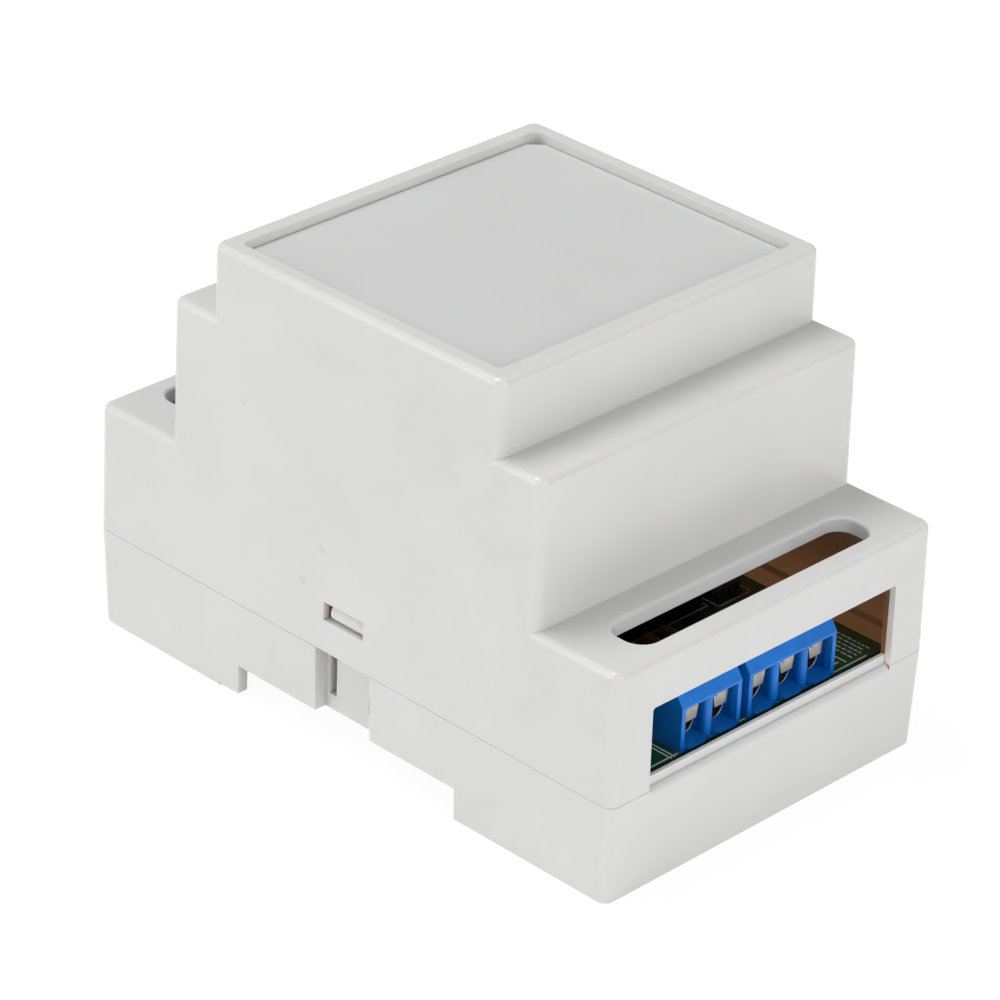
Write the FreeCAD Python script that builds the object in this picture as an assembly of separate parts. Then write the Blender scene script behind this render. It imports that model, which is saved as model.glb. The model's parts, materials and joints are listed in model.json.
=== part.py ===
# DC motor speed controller in a three-module enclosure for a 35 mm mounting rail.
# Frame: +Z up, X across the rail, Y along the rail, origin under the middle of the feet. Millimetres.
import FreeCAD
import Part
import math
import os

# Enclosure, outside
LENGTH = 88.0
WIDTH = 54.5
HEIGHT = 59.5
PARTING_Z = 13.25
SHOULDER_Z = 30.6
WAIST_Z = 49.8
SHOULDER_REACH = 13.05
WAIST_REACH = 7.05
COVER_DRAFT = 0.010
BASE_DRAFT = 0.027
CORNER_R = 1.5
EDGE_R = 0.9
PARTING_CHAMFER = 0.1

# Enclosure, walls
COVER_WALL = 1.6
ROOF = 2.0
BASE_WALL = 2.0
FOOT_FLOOR = 2.0
CHANNEL_FLOOR = 2.0
SLIDE_GAP = 0.15
FUSE = 0.2
CLEAR = 1.0

# Cover openings
WINDOW_HALF = 20.9
WINDOW_TOP_Z = 24.2
WINDOW_CORNER_R = 0.4
SLOT_SETBACK = 3.0
SLOT_W = 6.0
SLOT_HALF = 20.2
SLOT_R = 2.5
SLOT_EDGE_R = 0.5
SNAP_HALF = 3.4
SNAP_LOW_Z = 17.5
SNAP_HIGH_Z = 20.0

# Top plate and its recess
RIM_END = 2.6
RIM_SIDE = 2.35
RECESS_R = 1.0
LEDGE = 1.7
PLATE_T = 1.2
PLATE_DEPTH = 1.2
PLATE_GAP = 0.15
PRY = 2.2
PRY_GAP = 0.2

# Base lips, upstand and snap tongues
LIP_SETBACK = 0.9
LIP_T = 0.5
LIP_HEIGHT = 1.2
LIP_GAP = 0.1
UPSTAND_T = 1.3
UPSTAND_HEIGHT = 2.0
UPSTAND_END_GAP = 1.0
NOTCH_HALF = 4.7
TONGUE_HALF = 2.8
TONGUE_T = 1.2
TONGUE_TOP_Z = 20.9
TONGUE_GAP = 0.6
BUMP_R = 1.15
BUMP_OUT = 0.3
BUMP_HALF = 2.3
COVE_R = 0.8

# Rail channel, hooks and the 35 mm rail
RAIL_WIDTH = 35.0
RAIL_FLANGE_T = 1.0
CHANNEL_Z = 4.4
CHANNEL_FIXED_X = 22.0
CHANNEL_CLIP_X = 19.0
HOOK_HALF = 16.0
HOOK_ROOT_GAP = 0.3
HOOK_REACH = 2.6
HOOK_HEEL = 0.6
HOOK_LOW_Z = 0.6
HOOK_GAP = 0.3
CHEEK_T = 1.5
CHEEK_REACH = 3.6
CHEEK_LOW_Z = 0.3
CHEEK_R = 0.35

# Sliding rail clip and its spring
CLIP_NOSE = 2.0
CLIP_NOSE_SLOPE = 2.6
CLIP_NOSE_EDGE = 0.4
CLIP_TAIL_ROOM = 8.4
CLIP_HALF = 8.85
CLIP_LOW_Z = 0.5
CLIP_T = 2.7
CLIP_GAP = 0.15
CLIP_SLOT_END = 2.5
CLIP_SLOT_W = 2.5
CLIP_SLOT_HALF = 3.0
CLIP_SLOT_R = 0.6
RELIEF_START = 5.0
RELIEF_END = 7.0
RELIEF_RIM = 2.0
RELIEF_DEPTH = 1.2
GUIDE_START = 0.5
GUIDE_DEPTH = 1.0
GUIDE_T = 1.0
GUIDE_LOW_Z = 1.35
POCKET_WALL = 1.6
SPRING_T = 0.5
SPRING_FOLD = 1.9
SPRING_FOLDS = 6
SPRING_Y = 5.0
SPRING_GAP = 0.02

# Circuit board and its screws
BOARD_T = 1.6
BOARD_TOP_Z = 13.4
BOARD_END_GAP = 1.0
BOARD_SIDE_GAP = 0.45
BOARD_CORNER_R = 1.0
POST_IN = 4.0
POST_SIDE = 4.2
POST_R = 2.75
PILOT_R = 1.1
BOARD_HOLE_R = 1.5
SCREW_R = 1.05
SCREW_HEAD_R = 2.2
SCREW_HEAD_H = 1.6
SCREW_HEAD_EDGE = 0.7
SCREW_LENGTH = 6.0
SCREW_TIP_GAP = 0.5
CROSS_HALF = 1.1
CROSS_W = 0.4
CROSS_DEPTH = 0.7

# Screw terminals
PITCH = 5.08
TERM_DEPTH = 7.6
TERM_HEIGHT = 10.2
TERM_CREASE = 6.0
TERM_SLOPE = 2.8
TERM_WALL = 1.1
TERM_FLOOR = 0.7
ENTRY_HALF = 1.89
ENTRY_TOP = 5.2
ENTRY_EDGE_R = 0.3
DIVIDER_R = 0.65
DIVIDER_IN = 0.1
CAVITY_HALF = 2.05
CAVITY_TOP = 7.4
SILL_REACH = 0.45
SILL_HALF = 1.6
SILL_LIFT = 0.35
SILL_R = 0.5
CONTACT_R = 1.5
CONTACT_T = 0.22
CONTACT_BACK = 1.4
CONTACT_FRONT = 2.8
CONTACT_AXIS = 2.45
CONTACT_TOP = 6.9
NUT_T = 1.2
PIN_R = 0.5
PIN_HOLE_R = 0.7
PIN_STICKOUT = 1.2
TERM_SCREW_X = 4.8
TERM_SCREW_R = 1.25
TERM_TIP = 0.3
TERM_HEAD_R = 1.65
TERM_HEAD_H = 1.3
TERM_HEAD_DEPTH = 0.5
TERM_HEAD_EDGE = 0.2
TERM_HEAD_GAP = 0.2
THREAD_GAP = 0.05
DRIVER_W = 0.5
DRIVER_DEPTH = 0.7
LEAF_T = 0.25
LEAF_HALF = 0.95
LEAF_TOP_HALF = 1.4
LEAF_LEVEL = 3.1
LEAF_RISE = 1.95
LEAF_SETBACK = 0.95
LEAF_BACK_GAP = 0.1
SIGNAL_GAP = 1.3
SIGNAL_START_Y = -12.6
POWER_GAP = 0.7

# Heat sink and power transistors
SINK_X = 12.5
SINK_BASE_T = 2.0
SINK_FIN_REACH = 5.0
SINK_FIN_T = 1.2
SINK_FINS = 8
SINK_LOW_SIDE = 15.7
SINK_HIGH_SIDE = 9.3
SINK_H = 20.0
PACKAGE_W = 10.2
PACKAGE_T = 4.5
PACKAGE_TAB_T = 1.3
PACKAGE_CASE_IN = 0.1
PACKAGE_BODY_H = 9.0
PACKAGE_H = 15.6
PACKAGE_LIFT = 3.0
PACKAGE_PITCH = 11.4
PACKAGE_HOLE_R = 1.8
PACKAGE_HOLE_DOWN = 2.9
LEAD_W = 0.8
LEAD_T = 0.5
LEAD_IN = 1.6
LEAD_PITCH = 2.54
FIX_HEAD_R = 2.4
FIX_HEAD_T = 1.8
FIX_SLOT_W = 0.6
FIX_SLOT_DEPTH = 0.6
FIX_TIP_GAP = 0.2

# Capacitors, choke, crystal, lamp and header
CAP_R = 5.0
CAP_H = 16.0
CAP_X = -6.0
CAP_PITCH = 12.0
CAP_GROOVE_Z = 1.9
CAP_GROOVE = 0.4
CAP_GROOVE_HALF = 0.5
CAP_EDGE = 0.6
CHOKE_X = -20.0
CHOKE_Y = 11.0
CHOKE_R = 5.5
CHOKE_H = 7.0
CHOKE_FLANGE = 1.2
CHOKE_WAIST = 0.8
CHOKE_TAPER = 0.4
CRYSTAL_X = -22.5
CRYSTAL_HALF_L = 5.4
CRYSTAL_HALF_W = 2.3
CRYSTAL_END_R = 2.2
CRYSTAL_H = 3.5
LAMP_Y = 14.5
LAMP_R = 1.5
LAMP_FLANGE_R = 1.9
LAMP_FLANGE_H = 1.0
LAMP_H = 3.0
HEADER_X = -16.0
HEADER_Y = -3.0
HEADER_PITCH = 2.54
HEADER_ROWS = 3
HEADER_BLOCK_H = 2.5
HEADER_PIN_W = 0.64
HEADER_PIN_H = 8.5

# Diode and current shunt
DIODE_X = 11.0
DIODE_SIDE = 7.2
DIODE_R = 2.6
DIODE_L = 9.0
DIODE_LIFT = 0.2
DIODE_WIRE_R = 0.6
DIODE_WIRE_L = 2.0
SHUNT_X = -6.0
SHUNT_SIDE = 2.4
SHUNT_L = 10.0
SHUNT_W = 3.0
SHUNT_H = 4.0
SHUNT_T = 0.8
SHUNT_R = 0.7

# Flat chips and chip parts
CHIP_EDGE_R = 0.12
CHIP_STANDOFF = 0.1
CHIP_LEAD = 1.0
CHIP_LEAD_W = 0.4
CHIP_LEAD_T = 0.2
CHIP_KNEE = 0.4
CHIP_PITCH = 1.27
SMALL_CHIP_L = 5.0
SMALL_CHIP_W = 3.9
SMALL_CHIP_H = 1.5
SMALL_CHIP_LEAD_COUNT = 4
CONTROL_CHIP_L = 10.0
CONTROL_CHIP_W = 5.3
CONTROL_CHIP_H = 1.7
CONTROL_CHIP_LEAD_COUNT = 8
CONTROL_CHIP_X = -22.0
CONTROL_CHIP_Y = -9.0
REGULATOR_L = 6.5
REGULATOR_W = 3.6
REGULATOR_H = 1.6
REGULATOR_LEAD_COUNT = 2
REGULATOR_PITCH = 4.6
REGULATOR_X = -9.0
REGULATOR_SIDE = 5.7
BUS_CHIP_X = 17.6
BUS_CHIP_SIDE = 5.1
DRIVER_CHIP_X = 4.0
DRIVER_CHIP_SIDE = 7.7
BLOCK_L = 2.0
BLOCK_W = 1.25
RESISTOR_H = 0.5
CAPACITOR_H = 1.0
BLOCK_STEP = 3.0
BLOCK_SINK_GAP = 1.2
BLOCK_TERM_GAP = 2.0
BLOCK_CHIP_GAP = 0.6
BLOCK_LOW_Y = -10.5
BLOCK_HIGH_Y = 3.0
BLOCK_SIDE = 5.0
BLOCK_ROW_X = -20.0

V = FreeCAD.Vector
UP = V(0, 0, 1)
WAIST_HALF = LENGTH / 2 - SHOULDER_REACH
TOP_HALF = WAIST_HALF - WAIST_REACH
SLOT_OUT_X = LENGTH / 2 - SLOT_SETBACK
LIP_HALF = WINDOW_HALF - LIP_GAP
BOARD_LOW_Z = BOARD_TOP_Z - BOARD_T
INNER_FLOOR_Z = CHANNEL_Z + CHANNEL_FLOOR
PLATE_TOP_Z = HEIGHT - PLATE_DEPTH
PLATE_LOW_Z = PLATE_TOP_Z - PLATE_T
RAIL_LOW_Z = CHANNEL_Z - RAIL_FLANGE_T
POCKET_END_X = LENGTH / 2 - POCKET_WALL
CLIP_END_X = POCKET_END_X - CLIP_TAIL_ROOM
RECESS_X = TOP_HALF - RIM_END
RECESS_Y = WIDTH / 2 - COVER_DRAFT * (HEIGHT - PARTING_Z) - RIM_SIDE
UPSTAND_Y = WIDTH / 2 - COVER_DRAFT * UPSTAND_HEIGHT - COVER_WALL - SLIDE_GAP
UPSTAND_IN_Y = UPSTAND_Y - UPSTAND_T
TONGUE_Y = UPSTAND_Y - SLIDE_GAP
BOARD_X = LENGTH / 2 - BASE_WALL - BOARD_END_GAP
BOARD_Y = UPSTAND_IN_Y - BOARD_SIDE_GAP
POST_X = CHANNEL_FIXED_X + POST_IN
POST_Y = BOARD_Y - POST_SIDE
TERM_BACK_X = BOARD_X - TERM_DEPTH
SCREW_LINE_X = BOARD_X - TERM_SCREW_X
SINK_LOW_Y = SINK_LOW_SIDE - BOARD_Y
SINK_HIGH_Y = BOARD_Y - SINK_HIGH_SIDE
PACKAGE_HOLE_Z = BOARD_TOP_Z + PACKAGE_LIFT + PACKAGE_H - PACKAGE_HOLE_DOWN



def box(x0, x1, y0, y1, z0, z1):
    """A block between two corners."""
    return Part.makeBox(x1 - x0, y1 - y0, z1 - z0, V(x0, y0, z0))


def post(r, x, y, z0, z1):
    """An upright round bar."""
    return Part.makeCylinder(r, z1 - z0, V(x, y, z0))


def ring_bar(r, x0, x1, y, z):
    """A round bar along X."""
    return Part.makeCylinder(r, x1 - x0, V(x0, y, z), V(1, 0, 0))


def prism(points, direction):
    """A flat outline pushed along a direction."""
    wire = Part.makePolygon([V(*p) for p in points] + [V(*points[0])])
    return Part.Face(wire).extrude(V(*direction))


def joined(shapes):
    """One solid from several that overlap."""
    result = shapes[0].multiFuse(shapes[1:]) if len(shapes) > 1 else shapes[0]
    return result.removeSplitter()


def cut(shape, tools):
    """A solid less all the tools."""
    return shape.cut(Part.makeCompound(tools)).removeSplitter()


def turned(profile, x, y):
    """A round solid about an upright line, from its half outline as radius and height."""
    wire = Part.makePolygon([V(x + r, y, z) for r, z in profile] + [V(x, y, profile[0][1])])
    return Part.Face(wire).revolve(V(x, y, 0), UP, 360)



def flipped(shape):
    """The same shape at the other end of the enclosure."""
    return shape.mirror(V(0, 0, 0), V(1, 0, 0))


def rounded(shape, radius, wanted):
    """Round the edges whose middle point passes a test."""
    edges = [e for e in shape.Edges if wanted(e)]
    return shape.makeFillet(radius, edges)


def is_upright(edge):
    """True for an edge that climbs more than it runs."""
    a, b = edge.Vertexes[0].Point, edge.Vertexes[-1].Point
    return abs(a.z - b.z) > 0.9 * a.distanceToPoint(b) > 0


def lies_at(edge, z):
    """True for an edge wholly at one height."""
    return all(abs(v.Point.z - z) < 1e-4 for v in edge.Vertexes)


def half_width(z):
    """Half the cover's outer width at a height."""
    return WIDTH / 2 - COVER_DRAFT * (z - PARTING_Z)


def rounded_ring(hx, hy, r, z):
    """A level rectangle with round corners, as a closed wire."""
    k = r * (1 - math.sqrt(0.5))
    corners = ((1, -1), (1, 1), (-1, 1), (-1, -1))
    edges = []
    for i, (sx, sy) in enumerate(corners):
        ex, ey = V(sx * hx, sy * (hy - r), z), V(sx * (hx - r), sy * hy, z)
        first, last = (ey, ex) if i % 2 == 0 else (ex, ey)
        edges.append(Part.Arc(first, V(sx * (hx - k), sy * (hy - k), z), last).toShape())
        nx, ny = corners[(i + 1) % 4]
        follow = V(nx * (hx - r), ny * hy, z) if i % 2 else V(nx * hx, ny * (hy - r), z)
        edges.append(Part.LineSegment(last, follow).toShape())
    return Part.Wire(edges)


def leaning_block(rings):
    """A solid through level rounded rectangles, each given as half sizes, corner radius and z."""
    return Part.makeLoft([rounded_ring(*ring) for ring in rings], True, True)


def frustum(x0, y0, z0, x1, y1, z1):
    """A sharp block whose four sides lean, from half sizes at its bottom and top."""
    rings = []
    for hx, hy, z in ((x0, y0, z0), (x1, y1, z1)):
        corners = [V(-hx, -hy, z), V(hx, -hy, z), V(hx, hy, z), V(-hx, hy, z), V(-hx, -hy, z)]
        rings.append(Part.makePolygon(corners))
    return Part.makeLoft(rings, True, True)


def tier(half_length, z_ref, z_top):
    """One storey of the cover's outside, from the parting line up, with soft edges."""
    c = PARTING_CHAMFER
    low = half_length + COVER_DRAFT * (z_ref - PARTING_Z)
    high = half_length - COVER_DRAFT * (z_top - z_ref)
    block = leaning_block([(low - c, half_width(PARTING_Z) - c, CORNER_R - c, PARTING_Z),
                           (low, half_width(PARTING_Z + c), CORNER_R, PARTING_Z + c),
                           (high, half_width(z_top), CORNER_R, z_top)])
    return rounded(block, EDGE_R, lambda e: lies_at(e, z_top))


def tier_room(half_length, z_ref, z_top):
    """The hollow inside one storey."""
    low = half_length + COVER_DRAFT * (z_ref - PARTING_Z) - COVER_WALL
    high = half_length - COVER_DRAFT * (z_top - z_ref) - COVER_WALL
    wide_low = half_width(PARTING_Z) - COVER_WALL
    wide_high = half_width(z_top) - COVER_WALL
    return frustum(low, wide_low, PARTING_Z, high, wide_high, z_top)


def rounded_block(hx, hy, r, z0, z1):
    """An upright block with rounded corners, centred on the origin."""
    return rounded(box(-hx, hx, -hy, hy, z0, z1), r, is_upright)


def end_window():
    """The wire window's cutter, with rounded upper corners."""
    block = box(TOP_HALF, LENGTH / 2 + CLEAR, -WINDOW_HALF, WINDOW_HALF, PARTING_Z - CLEAR,
                WINDOW_TOP_Z)
    return rounded(block, WINDOW_CORNER_R, lambda e: e.BoundBox.XLength > CLEAR
                   and lies_at(e, WINDOW_TOP_Z))


def shoulder_slot():
    """The screwdriver slot's cutter."""
    block = box(SLOT_OUT_X - SLOT_W, SLOT_OUT_X, -SLOT_HALF, SLOT_HALF, SHOULDER_Z - ROOF - CLEAR,
                SHOULDER_Z + CLEAR)
    return rounded(block, SLOT_R, is_upright)


def is_slot_rim(edge):
    """True for an edge of a screwdriver slot in the shoulder's top face."""
    middle = edge.BoundBox.Center
    near = SLOT_OUT_X - SLOT_W - FUSE < abs(middle.x) < SLOT_OUT_X + FUSE
    return lies_at(edge, SHOULDER_Z) and near and abs(middle.y) < SLOT_HALF + FUSE


def pry_corner(x, y, z0, z1):
    """A three-sided cutter at the -X +Y corner of a level rectangle."""
    return prism([(x, y, z0), (x + PRY, y, z0), (x, y - PRY, z0)], (0, 0, z1 - z0))


def top_cover():
    """The stepped cover: three storeys, hollow, with its windows, slots and recess."""
    storeys = ((LENGTH / 2, PARTING_Z, SHOULDER_Z), (WAIST_HALF, SHOULDER_Z, WAIST_Z),
               (TOP_HALF, WAIST_Z, HEIGHT))
    outside = joined([tier(*s) for s in storeys])
    roofs = (SHOULDER_Z - ROOF, WAIST_Z - ROOF, PLATE_LOW_Z - ROOF)
    room = joined([tier_room(s[0], s[1], roof) for s, roof in zip(storeys, roofs)])
    shell = outside.cut(room)
    slot = shoulder_slot()
    shell = shell.cut(Part.makeCompound([slot, flipped(slot)]))
    shell = rounded(shell, SLOT_EDGE_R, is_slot_rim)
    low = PLATE_LOW_Z - ROOF - CLEAR
    opening = rounded_block(RECESS_X - LEDGE, RECESS_Y - LEDGE, RECESS_R, low, PLATE_LOW_Z + CLEAR)
    recess = rounded_block(RECESS_X, RECESS_Y, RECESS_R, PLATE_LOW_Z, HEIGHT + CLEAR)
    window = end_window()
    snap = box(-SNAP_HALF, SNAP_HALF, -WIDTH, WIDTH, SNAP_LOW_Z, SNAP_HIGH_Z)
    pry = pry_corner(-RECESS_X - PRY_GAP, RECESS_Y + PRY_GAP, low, PLATE_LOW_Z)
    return cut(shell, [opening, recess, window, flipped(window), snap, pry])


def top_plate():
    """The lid in the recess, with one corner cut off for a fingernail."""
    x, y = RECESS_X - PLATE_GAP, RECESS_Y - PLATE_GAP
    plate = rounded_block(x, y, RECESS_R - PLATE_GAP, PLATE_LOW_Z, PLATE_TOP_Z)
    return plate.cut(pry_corner(-x - PRY_GAP, y + PRY_GAP, PLATE_LOW_Z, PLATE_TOP_Z))


def base_outside():
    """The base's drafted outer block with its soft corners."""
    low_x = LENGTH / 2 - BASE_DRAFT * PARTING_Z
    low_y = WIDTH / 2 - BASE_DRAFT * PARTING_Z
    c = PARTING_CHAMFER
    return leaning_block([(low_x - 2 * c, low_y - 2 * c, CORNER_R - 2 * c, 0),
                          (low_x, low_y, CORNER_R, 2 * c),
                          (LENGTH / 2, WIDTH / 2, CORNER_R, PARTING_Z - c),
                          (LENGTH / 2 - c, WIDTH / 2 - c, CORNER_R - c, PARTING_Z)])


def fixed_hook():
    """The hook that holds the rail's fixed edge, with a sloping underside."""
    root = -RAIL_WIDTH / 2 - HOOK_ROOT_GAP
    tip = root + HOOK_REACH
    top = RAIL_LOW_Z - HOOK_GAP
    back = -CHANNEL_FIXED_X - FUSE
    profile = [(back, -HOOK_HALF, 0), (root - HOOK_HEEL, -HOOK_HALF, 0),
               (tip, -HOOK_HALF, HOOK_LOW_Z), (tip, -HOOK_HALF, top), (root, -HOOK_HALF, top),
               (root, -HOOK_HALF, CHANNEL_Z + FUSE), (back, -HOOK_HALF, CHANNEL_Z + FUSE)]
    return prism(profile, (0, 2 * HOOK_HALF, 0))


def cheek(side):
    """The side wall's finger that reaches past the end of the channel."""
    outer = WIDTH / 2 - BASE_DRAFT * (PARTING_Z - CHANNEL_Z)
    block = box(-CHANNEL_FIXED_X - CHEEK_T, -CHANNEL_FIXED_X + CHEEK_REACH, outer - CHEEK_T, outer,
                CHEEK_LOW_Z, CHANNEL_Z + FUSE)
    block = rounded(block, CHEEK_R, lambda e: lies_at(e, CHEEK_LOW_Z))
    return block if side > 0 else block.mirror(V(0, 0, 0), V(0, 1, 0))


def clip_pocket():
    """The space in the clip's foot that the clip and its guides slide in."""
    start, end = CHANNEL_CLIP_X - CLEAR, POCKET_END_X
    half = CLIP_HALF + CLIP_GAP
    body = box(start, end, -half, half, -CLEAR, CLIP_LOW_Z + CLIP_T + CLIP_GAP)
    guide = box(start, end, -half - GUIDE_DEPTH, half + GUIDE_DEPTH,
                GUIDE_LOW_Z - CLIP_GAP, GUIDE_LOW_Z + GUIDE_T + CLIP_GAP)
    return [body, guide]


def window_cove(side):
    """The cutter that rounds the end wall's top edge in front of a lip."""
    x = LENGTH / 2 - COVE_R - BASE_DRAFT * COVE_R
    z = PARTING_Z - COVE_R
    block = box(x, LENGTH / 2 + CLEAR, -LIP_HALF, LIP_HALF, z, PARTING_Z + CLEAR)
    bar = Part.makeCylinder(COVE_R, 2 * LIP_HALF, V(x, -LIP_HALF, z), V(0, 1, 0))
    cutter = block.cut(bar)
    return cutter if side > 0 else flipped(cutter)


def base_shell():
    """The base: drafted tray, feet, channel, hooks, clip pocket, posts, lips and upstand."""
    in_x = LENGTH / 2 - BASE_WALL
    in_y = WIDTH / 2 - BASE_WALL
    top = PARTING_Z + UPSTAND_HEIGHT
    wall = FOOT_FLOOR
    rooms = [
        box(-in_x, in_x, -in_y, in_y, INNER_FLOOR_Z, top),
        box(-in_x, -CHANNEL_FIXED_X - wall, -in_y, in_y, FOOT_FLOOR, INNER_FLOOR_Z + CLEAR),
        box(CHANNEL_CLIP_X + wall, in_x, -in_y, in_y, FOOT_FLOOR, INNER_FLOOR_Z + CLEAR),
        box(-CHANNEL_FIXED_X, CHANNEL_CLIP_X, -WIDTH, WIDTH, -CLEAR, CHANNEL_Z),
    ]
    tray = base_outside().cut(Part.makeCompound(rooms))
    pocket_half = CLIP_HALF + CLIP_GAP + GUIDE_DEPTH + wall
    housing = box(CHANNEL_CLIP_X, in_x + FUSE, -pocket_half, pocket_half, 0,
                  CLIP_LOW_Z + CLIP_T + CLIP_GAP + wall)
    pieces = [tray, housing, fixed_hook(), cheek(1), cheek(-1)]
    upstand_half = in_x - UPSTAND_END_GAP
    lip_x = LENGTH / 2 - LIP_SETBACK
    for side in (-1, 1):
        pieces.append(box(-upstand_half, upstand_half, *sorted((side * UPSTAND_IN_Y, side * UPSTAND_Y)),
                          INNER_FLOOR_Z, top))
        lip = box(lip_x - LIP_T, lip_x, -LIP_HALF, LIP_HALF, PARTING_Z - FUSE, PARTING_Z + LIP_HEIGHT)
        pieces.append(lip if side > 0 else flipped(lip))
        for end in (-1, 1):
            pieces.append(post(POST_R, end * POST_X, side * POST_Y, FOOT_FLOOR - FUSE, BOARD_LOW_Z))
    body = joined(pieces)
    holes = clip_pocket()
    gap_half = TONGUE_HALF + TONGUE_GAP
    for side in (-1, 1):
        holes.append(window_cove(side))
        holes.append(box(-NOTCH_HALF, NOTCH_HALF, *sorted((side * WIDTH, side * TONGUE_Y)),
                         CHANNEL_Z - CLEAR, PARTING_Z))
        holes.append(box(-gap_half, gap_half, *sorted((side * WIDTH, side * (UPSTAND_IN_Y - FUSE))),
                         INNER_FLOOR_Z, top + CLEAR))
        for end in (-1, 1):
            holes.append(post(PILOT_R, end * POST_X, side * POST_Y,
                              BOARD_LOW_Z - SCREW_LENGTH, BOARD_LOW_Z + CLEAR))
    return cut(body, holes)


def snap_tongues():
    """Two flexible tongues on the floor, each with the bump that catches the cover."""
    inner = TONGUE_Y - TONGUE_T
    bump_z = (SNAP_LOW_Z + SNAP_HIGH_Z) / 2
    tongues = []
    for side in (-1, 1):
        blade = box(-TONGUE_HALF, TONGUE_HALF, *sorted((side * inner, side * TONGUE_Y)),
                    INNER_FLOOR_Z, TONGUE_TOP_Z)
        bump = ring_bar(BUMP_R, -BUMP_HALF, BUMP_HALF, side * (TONGUE_Y + BUMP_OUT), bump_z)
        tongues.append(joined([blade, bump]))
    return Part.makeCompound(tongues)


def rail_clip():
    """The sliding catch: nose under the rail, guides, and a slot for a screwdriver tip."""
    x0 = RAIL_WIDTH / 2 - CLIP_NOSE
    x1 = CLIP_END_X
    z0, z1 = CLIP_LOW_Z, min(CLIP_LOW_Z + CLIP_T, RAIL_LOW_Z - CLIP_GAP)
    profile = [(x0 + CLIP_NOSE_EDGE, -CLIP_HALF, z1), (x0, -CLIP_HALF, z1 - CLIP_NOSE_EDGE),
               (x0 + CLIP_NOSE_SLOPE, -CLIP_HALF, z0), (x1, -CLIP_HALF, z0), (x1, -CLIP_HALF, z1)]
    body = prism(profile, (0, 2 * CLIP_HALF, 0))
    guides = box(CHANNEL_CLIP_X + GUIDE_START, x1, -CLIP_HALF - GUIDE_DEPTH, CLIP_HALF + GUIDE_DEPTH,
                 GUIDE_LOW_Z, GUIDE_LOW_Z + GUIDE_T)
    slot_x = x1 - CLIP_SLOT_END
    slot = box(slot_x - CLIP_SLOT_W, slot_x, -CLIP_SLOT_HALF, CLIP_SLOT_HALF, z0 - CLEAR, z1 + CLEAR)
    slot = rounded(slot, CLIP_SLOT_R, is_upright)
    relief_half = CLIP_HALF - RELIEF_RIM
    relief = box(x0 + RELIEF_START, x1 - RELIEF_END, -relief_half, relief_half, z0 - CLEAR,
                 z0 + RELIEF_DEPTH)
    return cut(joined([body, guides]), [slot, relief])



def spring_strip(start, end):
    """One straight strip of a spring arm between two points, with round ends."""
    bar = Part.makeBox(start.distanceToPoint(end), SPRING_T, GUIDE_T, V(0, -SPRING_T / 2, 0))
    bar.rotate(V(0, 0, 0), UP, math.degrees(math.atan2(end.y - start.y, end.x - start.x)))
    bar.translate(start)
    return [bar, post(SPRING_T / 2, start.x, start.y, start.z, start.z + GUIDE_T),
            post(SPRING_T / 2, end.x, end.y, end.z, end.z + GUIDE_T)]


def clip_spring():
    """Two folded spring arms between the clip's tail and the end of its pocket."""
    start = CLIP_END_X + SPRING_T / 2 + SPRING_GAP
    end = POCKET_END_X - SPRING_T / 2 - SPRING_GAP
    step = (end - start) / SPRING_FOLDS
    arms = []
    for side in (-1, 1):
        bends = [V(start + i * step, side * (SPRING_Y + SPRING_FOLD * (-1) ** i), GUIDE_LOW_Z)
                 for i in range(SPRING_FOLDS + 1)]
        strips = [spring_strip(p, q) for p, q in zip(bends, bends[1:])]
        arms.append(joined(sum(strips, [])))
    return Part.makeCompound(arms)


def block_starts():
    """Each terminal block: its name, end (+1 or -1), first side in Y and number of poles."""
    three_y = SIGNAL_START_Y + 2 * PITCH + SIGNAL_GAP
    supply_y = -POWER_GAP / 2 - 2 * PITCH
    return (("signal_terminal_2p", 1, SIGNAL_START_Y, 2), ("signal_terminal_3p", 1, three_y, 3),
            ("supply_terminal", -1, supply_y, 2), ("motor_terminal", -1, POWER_GAP / 2, 2))


def poles():
    """Every pole's end and middle in Y."""
    return [(end, y0 + (i + 0.5) * PITCH) for _, end, y0, count in block_starts()
            for i in range(count)]


def placed(shape, end):
    """A terminal shape modelled at the +X end, put at its own end."""
    return shape if end > 0 else flipped(shape)


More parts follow.
